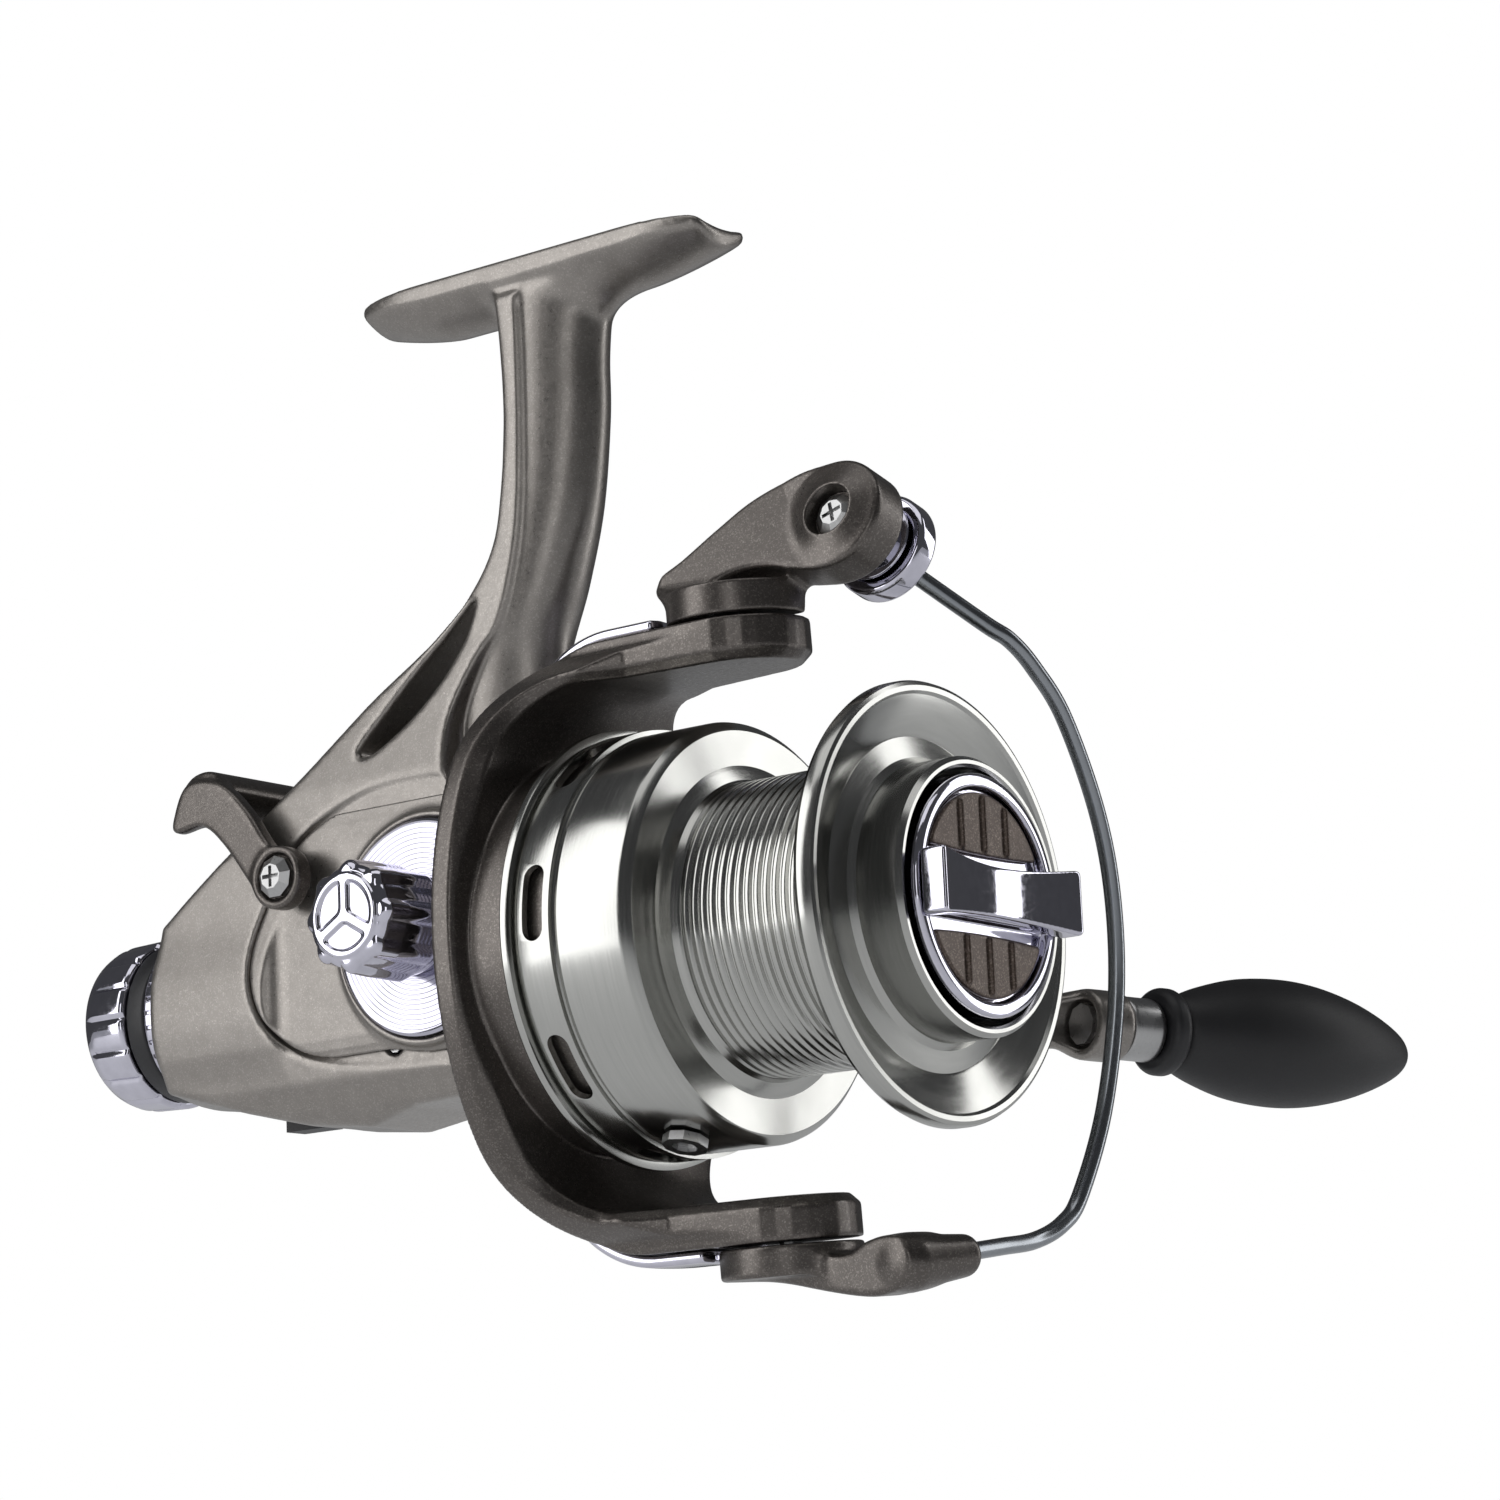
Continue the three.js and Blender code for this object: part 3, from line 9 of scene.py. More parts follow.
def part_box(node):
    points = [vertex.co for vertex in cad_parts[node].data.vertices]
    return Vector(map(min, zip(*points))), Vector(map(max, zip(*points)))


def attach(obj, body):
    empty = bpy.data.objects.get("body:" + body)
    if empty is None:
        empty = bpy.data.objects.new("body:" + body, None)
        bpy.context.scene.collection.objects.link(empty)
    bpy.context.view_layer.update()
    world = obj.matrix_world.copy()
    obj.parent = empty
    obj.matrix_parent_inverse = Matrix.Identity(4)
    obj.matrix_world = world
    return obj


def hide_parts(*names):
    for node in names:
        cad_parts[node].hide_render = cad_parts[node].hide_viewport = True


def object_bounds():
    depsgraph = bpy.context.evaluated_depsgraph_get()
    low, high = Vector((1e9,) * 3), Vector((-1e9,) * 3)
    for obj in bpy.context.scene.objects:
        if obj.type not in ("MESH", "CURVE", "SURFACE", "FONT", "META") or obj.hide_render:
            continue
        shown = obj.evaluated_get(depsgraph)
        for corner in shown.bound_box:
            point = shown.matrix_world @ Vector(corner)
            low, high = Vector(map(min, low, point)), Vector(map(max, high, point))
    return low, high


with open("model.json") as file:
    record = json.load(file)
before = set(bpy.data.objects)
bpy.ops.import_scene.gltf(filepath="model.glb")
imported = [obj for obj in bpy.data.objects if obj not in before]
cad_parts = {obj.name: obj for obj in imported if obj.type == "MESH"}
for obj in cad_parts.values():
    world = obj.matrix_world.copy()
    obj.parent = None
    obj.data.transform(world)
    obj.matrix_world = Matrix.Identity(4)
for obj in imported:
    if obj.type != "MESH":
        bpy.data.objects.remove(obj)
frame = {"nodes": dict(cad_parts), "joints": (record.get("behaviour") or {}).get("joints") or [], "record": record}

# ------------------------------------------------------------------ the frame
# Shapes below are in millimetres about the spool axis: X forward, Y towards the handle, Z up.
CAD_BOX = [list(corner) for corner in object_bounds()]
JOINTS = {joint["name"]: joint for joint in frame["joints"]}
AXIS = Vector(JOINTS["rotor_spin"]["pos_m"])
MM = 0.001


def about_axis(point):
    """A place of the row frame, in millimetres about the spool axis."""
    return (Vector(point) - AXIS) / MM


BAIL_AXIS = Vector(JOINTS["bail_flip"]["axis"])
ROTOR_TURN = math.atan2(-BAIL_AXIS.y, BAIL_AXIS.z)
TO_ROW = Matrix.Translation(AXIS) @ Matrix.Scale(MM, 4)
ROTOR_TO_ROW = TO_ROW @ Matrix.Rotation(ROTOR_TURN, 4, "X")
DRIVE_X, _, DRIVE_Z = about_axis(JOINTS["handle_spin"]["pos_m"])
ARM_X = about_axis(JOINTS["bail_flip"]["pos_m"]).x
LEVER_X, _, LEVER_Z = about_axis(JOINTS["feeder_lever_flip"]["pos_m"])
SWITCH_X, _, SWITCH_Z = about_axis(JOINTS["anti_reverse_flip"]["pos_m"])
UNTURN = Matrix.Rotation(-ROTOR_TURN, 3, "X")
ROLLER_AT = UNTURN @ about_axis(JOINTS["roller_spin"]["pos_m"])
ROLLER_DIR = (UNTURN @ Vector(JOINTS["roller_spin"]["axis"])).normalized()
CRANK_AT = about_axis(JOINTS["oscillating_gear_spin"]["pos_m"])
KNOB_AT = about_axis(JOINTS["knob_spin"]["pos_m"])
KNOB_DIR = Vector(JOINTS["knob_spin"]["axis"]).normalized()
ORIGIN = (0, 0, 0)
DRIVE_AT = (DRIVE_X, 0, DRIVE_Z)
LEVER_AT = (LEVER_X, 0, LEVER_Z)
PIVOT_AT = (ARM_X, 0, 0)
ALONG = (1, 0, 0)
ACROSS = (0, 1, 0)
UP = (0, 0, 1)


# ------------------------------------------------------------------ materials
class Tree:
    """A short way to write a material's nodes."""

    def __init__(self, name):
        self.material = bpy.data.materials.new(name)
        self.material.use_nodes = True
        self.nodes = self.material.node_tree.nodes
        self.links = self.material.node_tree.links
        self.shader = self.nodes["Principled BSDF"]

    def node(self, kind, **inputs):
        made = self.nodes.new("ShaderNode" + kind)
        for name, value in inputs.items():
            self.set(made, name.replace("_", " "), value)
        return made

    def set(self, node, name, value):
        socket = node.inputs[name]
        if isinstance(value, bpy.types.NodeSocket):
            self.links.new(value, socket)
        else:
            socket.default_value = value

    def coords(self, scale=(1000, 1000, 1000)):
        """Object coordinates in millimetres, stretched by scale."""
        places = self.node("TexCoord").outputs["Object"]
        mapping = self.node("Mapping", Vector=places, Scale=scale)
        return mapping.outputs["Vector"]

    def noise(self, vector, scale, detail=2.0, roughness=0.5):
        made = self.node("TexNoise", Vector=vector, Scale=scale, Detail=detail, Roughness=roughness)
        return made.outputs["Fac"]

    def ramp(self, value, stops):
        made = self.node("ValToRGB", Fac=value)
        ramp = made.color_ramp
        while len(ramp.elements) < len(stops):
            ramp.elements.new(0.5)
        for element, (place, color) in zip(ramp.elements, stops):
            element.position = place
            element.color = grey(color) if isinstance(color, float) else (*color, 1)
        return made.outputs["Color"]

    def bump(self, height, strength, distance):
        made = self.node("Bump", Height=height, Strength=strength, Distance=distance)
        return made.outputs["Normal"]

    def finish(self, **inputs):
        for name, value in inputs.items():
            self.set(self.shader, name.replace("_", " "), value)
        return self.material


def grey(value):
    return (value, value, value, 1)


def flake_paint(name, dark, light, roughness):
    """Metallic paint: fine bright flakes, a soft mottle and a clear coat."""
    t = Tree(name)
    at = t.coords()
    mottle = t.noise(at, 0.35, 3)
    flakes = t.node("TexVoronoi", Vector=at, Scale=5.5)
    spark = t.ramp(flakes.outputs["Color"], [(0.0, dark), (0.62, dark), (1.0, light)])
    base = t.ramp(mottle, [(0.3, dark), (0.7, tuple(1.18 * c for c in dark))])
    mix = t.node("MixRGB", Fac=0.3, Color1=base, Color2=spark)
    rough = t.ramp(t.noise(at, 1.8, 4), [(0.3, roughness - 0.05), (0.7, roughness + 0.06)])
    grain = t.bump(t.noise(at, 7.0, 3), 0.22, 0.00006)
    return t.finish(Base_Color=mix.outputs[0], Metallic=0.82, Roughness=rough, Normal=grain,
                    Coat_Weight=0.25, Coat_Roughness=0.22)


def turned_metal(name, color, roughness, rings, axis="X"):
    """Bright metal with fine lathe rings across the axis."""
    t = Tree(name)
    stretch = {"X": (1000, 30, 30), "Y": (30, 1000, 30)}[axis]
    along = t.coords(stretch)
    lines = t.noise(along, rings, 4, 0.7)
    tint = t.ramp(lines, [(0.25, tuple(0.86 * c for c in color)), (0.75, color)])
    rough = t.ramp(lines, [(0.2, roughness * 0.7), (0.8, roughness * 1.4)])
    smudge = t.noise(t.coords(), 0.12, 3)
    worn = t.ramp(smudge, [(0.35, roughness * 0.8), (0.75, roughness * 1.7)])
    dull = t.node("MixRGB", Fac=0.25, Color1=rough, Color2=worn)
    return t.finish(Base_Color=tint, Metallic=1.0, Roughness=dull.outputs[0],
                    Normal=t.bump(lines, 0.18, 0.00004))


def chrome(name, color, roughness=0.06):
    """Bright plated metal, with faint polishing haze."""
    t = Tree(name)
    at = t.coords()
    haze = t.noise(at, 0.5, 4)
    tint = t.ramp(haze, [(0.3, tuple(0.9 * c for c in color)), (0.7, color)])
    rough = t.ramp(t.noise(at, 1.4, 5), [(0.35, roughness * 0.6), (0.8, roughness * 2.0)])
    return t.finish(Base_Color=tint, Metallic=1.0, Roughness=rough,
                    Normal=t.bump(t.noise(at, 0.9, 2), 0.04, 0.00005))


def brushed(name, color, roughness):
    t = Tree(name)
    at = t.coords((1000, 1000, 260))
    grain = t.noise(at, 3.0, 5, 0.65)
    tint = t.ramp(grain, [(0.25, tuple(0.86 * c for c in color)), (0.8, color)])
    rough = t.ramp(grain, [(0.2, roughness * 0.8), (0.8, roughness * 1.25)])
    return t.finish(Base_Color=tint, Metallic=1.0, Roughness=rough, Normal=t.bump(grain, 0.08, 0.00003))


def matte(name, color, roughness, bumps=4.0, strength=0.3):
    """Moulded plastic or rubber with a fine satin texture."""
    t = Tree(name)
    at = t.coords()
    fine = t.noise(at, bumps, 4)
    broad = t.noise(at, 0.08, 2)
    tint = t.ramp(broad, [(0.3, color), (0.75, tuple(1.5 * c for c in color))])
    rough = t.ramp(fine, [(0.3, roughness - 0.05), (0.7, roughness + 0.07)])
    return t.finish(Base_Color=tint, Roughness=rough, Normal=t.bump(fine, strength, 0.00005))


def felt(name, color):
    t = Tree(name)
    at = t.coords()
    fibres = t.noise(at, 3.5, 6, 0.75)
    tint = t.ramp(fibres, [(0.3, tuple(0.6 * c for c in color)), (0.7, color)])
    return t.finish(Base_Color=tint, Roughness=t.ramp(fibres, [(0.2, 0.85), (0.8, 0.98)]),
                    Normal=t.bump(fibres, 0.8, 0.0002), Sheen_Weight=0.4)


SLOT_MATERIALS = {
    "body_paint": flake_paint("warm_grey_flake_paint", (0.25, 0.232, 0.215), (0.6, 0.56, 0.52), 0.32),
    "rotor_paint": flake_paint("dark_flake_paint", (0.108, 0.096, 0.088), (0.5, 0.46, 0.42), 0.32),
    "spool_metal": turned_metal("turned_aluminium", (0.5, 0.5, 0.48), 0.17, 2.6),
    "chrome": chrome("violet_chrome", (0.66, 0.65, 0.74)),
    "steel": brushed("satin_steel", (0.5, 0.5, 0.5), 0.3),
    "brass": brushed("cut_brass", (0.62, 0.46, 0.2), 0.34),
    "wire_steel": brushed("dark_wire_steel", (0.34, 0.36, 0.385), 0.22),
    "black_plastic": matte("black_plastic", (0.012, 0.012, 0.014), 0.45),
    "rubber": matte("soft_black_rubber", (0.012, 0.012, 0.0135), 0.5, 5.0, 0.2),
    "insert_paint": flake_paint("brown_sparkle_paint", (0.085, 0.062, 0.05), (0.6, 0.5, 0.42), 0.42),
    "felt": felt("greased_felt", (0.25, 0.22, 0.18)),
}
CHROME_DISC = turned_metal("ringed_chrome", (0.6, 0.59, 0.68), 0.14, 2.0, "Y")


# ------------------------------------------------------------------ meshes
def mesh_piece(name, points, faces, body, nodes, slot, to_row=TO_ROW, material=None, sharp=38):
    """A piece from points in millimetres, riding on body in place of the CAD nodes."""
    data = bpy.data.meshes.new(name)
    if isinstance(faces, np.ndarray):
        count, sides = faces.shape
        data.vertices.add(len(points))
        data.vertices.foreach_set("co", np.asarray(points, np.float32).ravel())
        data.loops.add(count * sides)
        data.loops.foreach_set("vertex_index", faces.astype(np.int32).ravel())
        data.polygons.add(count)
        data.polygons.foreach_set("loop_start", np.arange(0, count * sides, sides, dtype=np.int32))
        data.update(calc_edges=True)
    else:
        data.from_pydata([tuple(p) for p in points], [], faces)
    data.transform(to_row)
    data.validate()
    data.shade_smooth()
    if sharp:
        data.set_sharp_from_angle(angle=math.radians(sharp))
    piece = bpy.data.objects.new(name, data)
    bpy.context.scene.collection.objects.link(piece)
    data.materials.append(material or SLOT_MATERIALS[slot])
    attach(piece, body)
    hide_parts(*nodes)
    return piece


def aim(at, direction):
    """Turns a shape made along X so that it runs along direction from the point at."""
    turn = Vector((1, 0, 0)).rotation_difference(Vector(direction)).to_matrix().to_4x4()
    return Matrix.Translation(Vector(at)) @ turn


def turned(profile, sides=160, swell=None, matrix=None):
    """Points and faces of a body turned about X. The profile is a list of (radius, x) that
    starts and ends on the axis, or closes on itself. swell(angle, x, r) scales the radius."""
    closed = profile[0][0] > 1e-6 or profile[-1][0] > 1e-6
    angles = np.arange(sides) * 2 * math.pi / sides
    points = []
    rings = []
    for r, x in profile:
        if r < 1e-6:
            rings.append([len(points)])
            points.append((x, 0, 0))
            continue
        rings.append(list(range(len(points), len(points) + sides)))
        for a in angles:
            rr = r * (swell(a, x, r) if swell else 1)
            points.append((x, rr * math.cos(a), rr * math.sin(a)))
    faces = []
    pairs = list(zip(rings, rings[1:] + rings[:1])) if closed else list(zip(rings, rings[1:]))
    for low, high in pairs:
        for i in range(sides):
            j = (i + 1) % sides
            if len(low) == 1:
                faces.append((low[0], high[j], high[i]))
            elif len(high) == 1:
                faces.append((low[i], low[j], high[0]))
            else:
                faces.append((low[i], low[j], high[j], high[i]))
    if signed_volume(points, faces) < 0:
        faces = [tuple(reversed(face)) for face in faces]
    if matrix is not None:
        points = [matrix @ Vector(p) for p in points]
    return points, faces


def signed_volume(points, faces):
    p = np.array([tuple(q) for q in points])
    total = 0.0
    for face in faces:
        for k in range(1, len(face) - 1):
            total += np.dot(p[face[0]], np.cross(p[face[k]], p[face[k + 1]]))
    return total


def rounded(profile, radius=0.35, steps=3, closed=False):
    """The profile with every corner between straight stretches rounded."""
    count = len(profile)
    made = []
    for i, corner in enumerate(profile):
        if not closed and i in (0, count - 1):
            made.append(corner)
            continue
        c = Vector(corner)
        before = Vector(profile[i - 1]) - c
        after = Vector(profile[(i + 1) % count]) - c
        reach = min(radius, before.length * 0.45, after.length * 0.45)
        if reach < 0.02 or before.angle(after, math.pi) > math.radians(176):
            made.append(corner)
            continue
        a = c + before.normalized() * reach
        b = c + after.normalized() * reach
        for k in range(steps + 1):
            t = k / steps
            p = (1 - t) ** 2 * a + 2 * t * (1 - t) * c + t * t * b
            made.append((p.x, p.y))
    return made


def smooth(points, per_span=8, closed=False):
    """A Catmull-Rom curve through the points, in any number of dimensions."""
    p = np.array(points, float)
    n = len(p)
    made = []
    for i in range(n if closed else n - 1):
        p0 = p[(i - 1) % n] if closed or i > 0 else 2 * p[0] - p[1]
        p1, p2 = p[i], p[(i + 1) % n]
        p3 = p[(i + 2) % n] if closed or i < n - 2 else 2 * p[-1] - p[-2]
        for k in range(per_span):
            t = k / per_span
            made.append(0.5 * (2 * p1 + (p2 - p0) * t + (2 * p0 - 5 * p1 + 4 * p2 - p3) * t * t
                               + (3 * p1 - p0 - 3 * p2 + p3) * t ** 3))
    if not closed:
        made.append(p[-1])
    return [tuple(float(v) for v in q) for q in made]


# ------------------------------------------------------------------ fields
# A cast piece is a distance field, so that its faces run into each other in real fillets.
def union(a, b, k=0.0):
    if k <= 0:
        return np.minimum(a, b)
    h = np.clip(0.5 + 0.5 * (b - a) / k, 0, 1)
    return b * (1 - h) + a * h - k * h * (1 - h)


def common(a, b, k=0.0):
    return -union(-a, -b, k)


def minus(a, b, k=0.0):
    return common(a, -b, k)


def polygon(points, a, b):
    """Signed distance to a flat outline, negative inside."""
    best = None
    inside = np.zeros(np.broadcast(a, b).shape, bool)
    for (ax, ay), (bx, by) in zip(points, points[1:] + points[:1]):
        ex, ey = bx - ax, by - ay
        wx, wy = a - ax, b - ay
        t = np.clip((wx * ex + wy * ey) / max(ex * ex + ey * ey, 1e-9), 0, 1)
        d = (wx - ex * t) ** 2 + (wy - ey * t) ** 2
        best = d if best is None else np.minimum(best, d)
        crosses = ((ay > b) != (by > b)) & (a < (bx - ax) * (b - ay) / ((by - ay) or 1e-9) + ax)
        inside = inside ^ crosses
    return np.where(inside, -1.0, 1.0) * np.sqrt(best)


class Grid:
    """The points that a field is worked out at, in millimetres."""

    def __init__(self, low, high, step):
        self.low = np.array(low, float)
        self.step = step
        axes = [np.arange(l, h + step, step, dtype=np.float32) for l, h in zip(low, high)]
        self.X = axes[0][:, None, None]
        self.Y = axes[1][None, :, None]
        self.Z = axes[2][None, None, :]

    def rod(self, a, b, r, r_end=None):
        """A round-ended rod from a to b, or a cone if its radii differ."""
        a, b = Vector(a), Vector(b)
        e = b - a
        t = ((self.X - a.x) * e.x + (self.Y - a.y) * e.y + (self.Z - a.z) * e.z) / e.length_squared
        t = np.clip(t, 0, 1)
        d = np.sqrt((self.X - a.x - e.x * t) ** 2 + (self.Y - a.y - e.y * t) ** 2
                    + (self.Z - a.z - e.z * t) ** 2)
        return d - (r if r_end is None else r + (r_end - r) * t)

    def cylinder(self, at, direction, r, start, end, k=0.0):
        """A flat-ended cylinder round the line through at."""
        at, d = Vector(at), Vector(direction).normalized()
        along = (self.X - at.x) * d.x + (self.Y - at.y) * d.y + (self.Z - at.z) * d.z
        square = (self.X - at.x) ** 2 + (self.Y - at.y) ** 2 + (self.Z - at.z) ** 2
        radial = np.sqrt(np.maximum(square - along ** 2, 0)) - r
        return common(radial, np.maximum(start - along, along - end), k)

    def mesh(self, field, blur=1):
        """Quads round the zero level of the field."""
        f = np.ascontiguousarray(np.broadcast_to(
            field, (self.X.size, self.Y.size, self.Z.size)).astype(np.float32))
        for axis in range(3):
            for _ in range(blur):
                m = np.moveaxis(f, axis, 0)
                m[1:-1] = 0.25 * (m[:-2] + 2 * m[1:-1] + m[2:])
        for axis in range(3):
            m = np.moveaxis(f, axis, 0)
            m[0] = m[-1] = np.maximum(m[0], self.step)
        return net(f, self.low, self.step)


def net(f, low, step):
    """Surface nets: one vertex in each cell that the surface crosses, one quad on each edge."""
    cells = np.array(f.shape) - 1
    ids, spots, quads = [], [], []
    for axis in range(3):
        a = np.take(f, range(f.shape[axis] - 1), axis)
        b = np.take(f, range(1, f.shape[axis]), axis)
        edge = np.argwhere((a < 0) != (b < 0))
        va = a[tuple(edge.T)]
        vb = b[tuple(edge.T)]
        spot = edge.astype(np.float64)
        spot[:, axis] += va / (va - vb)
        u, v = (axis + 1) % 3, (axis + 2) % 3
        around = []
        for du, dv in ((-1, -1), (0, -1), (0, 0), (-1, 0)):
            cell = edge.copy()
            cell[:, u] += du
            cell[:, v] += dv
            around.append(np.ravel_multi_index(tuple(np.clip(cell, 0, cells - 1).T), tuple(cells)))
        around = np.stack(around, 1)
        around[va >= 0] = around[va >= 0][:, ::-1]
        quads.append(around)
        ids.append(around.ravel())
        spots.append(np.repeat(spot, 4, axis=0))
    ids, spots, quads = np.concatenate(ids), np.concatenate(spots), np.concatenate(quads)
    used, back = np.unique(ids, return_inverse=True)
    count = np.bincount(back)
    points = np.stack([np.bincount(back, spots[:, k]) / count for k in range(3)], 1)
    faces = np.searchsorted(used, quads)
    for _ in range(2):
        points = settle(f, points)
    return low + points * step, faces


def settle(f, points):
    """Moves each vertex onto the field's zero level along its slope."""
    base = np.clip(np.floor(points).astype(int), 0, np.array(f.shape) - 2)
    t = points - base
    value = np.zeros(len(points))
    slope = np.zeros((len(points), 3))
    for i in (0, 1):
        for j in (0, 1):
            for k in (0, 1):
                v = f[base[:, 0] + i, base[:, 1] + j, base[:, 2] + k]
                wx = t[:, 0] if i else 1 - t[:, 0]
                wy = t[:, 1] if j else 1 - t[:, 1]
                wz = t[:, 2] if k else 1 - t[:, 2]
                value += v * wx * wy * wz
                slope[:, 0] += v * (1 if i else -1) * wy * wz
                slope[:, 1] += v * (1 if j else -1) * wx * wz
                slope[:, 2] += v * (1 if k else -1) * wx * wy
    move = -value[:, None] * slope / np.maximum((slope ** 2).sum(1), 1e-6)[:, None]
    return points + np.clip(move, -0.4, 0.4)


def cast_piece(name, grid, field, body, nodes, slot, to_row=TO_ROW, blur=1, material=None):
    points, faces = grid.mesh(field, blur)
    return mesh_piece(name, points, faces, body, nodes, slot, to_row, material, sharp=None)


# ------------------------------------------------------------------ body frame and side cover
SEAT_Z = -AXIS.z / MM
CASE_REAR, FOOT_FRONT = (about_axis(corner).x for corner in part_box("body_frame"))
FOOT_X = -AXIS.x / MM
FOOT_HALF = FOOT_FRONT - FOOT_X
FOOT_W = 7.8  # half the width of the foot
CASE_FRONT = -64
BOSS_FRONT = -51
TRIM_R = 15.5
STEM_TOP = 97
INNER_WALL = 11.2  # the rooms stop here on the handle side

# side outlines, as x and z
EDGE_LINE = [(-64.4, STEM_TOP), (-64.2, 90), (-64.3, 78), (-64.9, 66), (-66.4, 57.5), (-69.2, 49.6),
             (-73, 44.5), (-76.4, 38.2), (-77.4, 32.8), (-76, 26), (-70, 19)]
REAR_LINE = [(CASE_REAR + 0.2, 12.4), (-127, 16.5), (-118, 22.5), (-106, 31), (-94, 40.6), (-84, 47.2),
             (-75.5, 53.6), (-70.6, 60.2), (-68.6, 68), (-67.5, 78), (-67.7, 88), (-68.6, STEM_TOP)]
FRONT_LINE = [(-53.2, STEM_TOP), (-54.4, 88), (-54.7, 79), (-56.6, 66), (-60, 55), (-63.6, 45), (-64, 30)]
BELLY = [(-64, 19), (-64, -16.5), (-72, -18), (-87, -18.6), (-97, -20.6), (-108, -19.4), (-119, -16.6),
         (CASE_REAR + 0.2, -12.4)]
COVER_LINE = [(-66, -12.8), (-80, -12.8), (-98.8, -11.2), (-107.5, -8), (-112, -3), (-113.6, 4),
              (-112, 11), (-106, 20), (-98, 25), (-88, 27.5), (-76, 27), (-66, 23)]


def line_at(line, heights):
    """x of a line at each height."""
    ordered = sorted(smooth(line, 6), key=lambda p: p[1])
    return np.interp(heights, [p[1] for p in ordered], [p[0] for p in ordered])


def foot_field(g):
    """The rod foot: hollowed seat, thick middle and thin rounded ends."""
    end = np.clip((np.abs(g.X - FOOT_X) / FOOT_HALF - 0.55) / 0.45, 0, 1)
    half = FOOT_W * (1 - 0.28 * end ** 3)
    y = g.Y / half
    top = SEAT_Z + 1.4 * np.clip(np.abs(g.Y / FOOT_W), 0, 1) ** 2
    centre = SEAT_Z - 6 + 2.9 * end ** 1.4
    edge = SEAT_Z - 1.4 + 0.5 * end
    under = centre + (edge - centre) * np.clip(np.abs(y), 0, 1) ** 1.7
    plate = common(g.Z - top, under - g.Z, 0.5)
    ends = np.abs(g.X - FOOT_X) - FOOT_HALF
    return common(common(plate, np.abs(g.Y) - half, 0.7), ends, 1.4)


def frame_field(g):
    """Case, stem, foot and the bosses, all solid."""
    width = np.interp(g.Z, [-21, -18, -14, -8, 20, 29, 38, 48, 103],
                      [6.5, 9.5, 11.6, 12.7, 12.7, 11.7, 9.6, 7.7, 7.7]).astype(np.float32)
    side = polygon(smooth(REAR_LINE, 5) + smooth(EDGE_LINE, 5) + BELLY, g.X, g.Z)
    walls = common(side, np.abs(g.Y) - width, 0.9)
    # the rounded front of the stem, which runs down behind the rotor
    rear = line_at(EDGE_LINE, g.Z[0, 0])[None, None, :] - 1.5
    ahead = line_at(FRONT_LINE, g.Z[0, 0])[None, None, :]
    across = np.clip((g.X - rear) / np.maximum(ahead - rear, 1), 0, None)
    nose = (np.sqrt(across ** 2 + (g.Y / 6.9) ** 2) - 1) * 6.4
    nose = common(common(nose, rear - 2 - g.X), np.maximum(g.Z - STEM_TOP, 16 - g.Z))
    body = union(walls, nose, 0.8)
    ring = g.cylinder(DRIVE_AT, ACROSS, TRIM_R + 1.2, -14.4, 13.8, 0.5)
    ring = common(ring, g.X - CASE_FRONT)
    body = union(body, ring, 1.6)
    body = union(body, g.cylinder(DRIVE_AT, ACROSS, 8.5, 0, 19, 0.8), 2.5)
    body = union(body, g.cylinder(ORIGIN, ALONG, 13.3, CASE_REAR + 0.1, -112, 0.4), 5)
    body = union(body, g.cylinder(ORIGIN, ALONG, 12, CASE_FRONT - 4, BOSS_FRONT - 0.05, 0.3), 0.4)
    return union(body, foot_field(g), 4.2)


def frame_rooms(g):
    """The hollows inside the case."""
    crank = (CRANK_AT.x, 0, CRANK_AT.z)
    switch = (SWITCH_X, 0, SWITCH_Z)
    across = np.maximum(-20 - g.Y, g.Y - INNER_WALL)
    slider = common(np.abs(g.X - CRANK_AT.x) - 10.2, np.abs(g.Z - CRANK_AT.z) - 9.8)
    rooms = [
        g.cylinder(DRIVE_AT, ACROSS, 14.9, -20, INNER_WALL),
        g.cylinder(crank, ACROSS, 12.7, -20, INNER_WALL),
        common(common(np.abs(g.X + 90) - 20, np.abs(g.Z) - 5), across),
        common(slider, np.maximum(1.7 - g.Y, g.Y - INNER_WALL)),
        g.cylinder(ORIGIN, ALONG, 8.7, BOSS_FRONT - 11, BOSS_FRONT + 5),
        g.cylinder(ORIGIN, ALONG, 4.0, -72, BOSS_FRONT + 1),
        g.cylinder(ORIGIN, ALONG, 5.6, CASE_REAR - 5, -108),
        g.cylinder(DRIVE_AT, ACROSS, 7.6, 10, 16),
        g.cylinder(DRIVE_AT, ACROSS, 4.6, 0, 40),
        g.cylinder(LEVER_AT, ACROSS, 1.6, -30, -7),
        g.cylinder(LEVER_AT, ACROSS, 1.6, 7, 30),
        g.cylinder(switch, UP, 6.2, -10, 0.05),
        g.cylinder(switch, UP, 2.8, -10, 5),
        g.cylinder(crank, ACROSS, 2.8, 9, 13),
    ]
    for low, high in (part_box("cover_screw_" + str(i)) for i in (1, 2, 3)):
        at = (about_axis(low) + about_axis(high)) / 2
        rooms.append(g.cylinder((at.x, 0, at.z), ACROSS, 1.5, -30, 30))
        rooms.append(g.cylinder((at.x, 0, at.z), ACROSS, 2.9, 11.8, 30))
    made = rooms[0]
    for room in rooms[1:]:
        made = np.minimum(made, room)
    return made


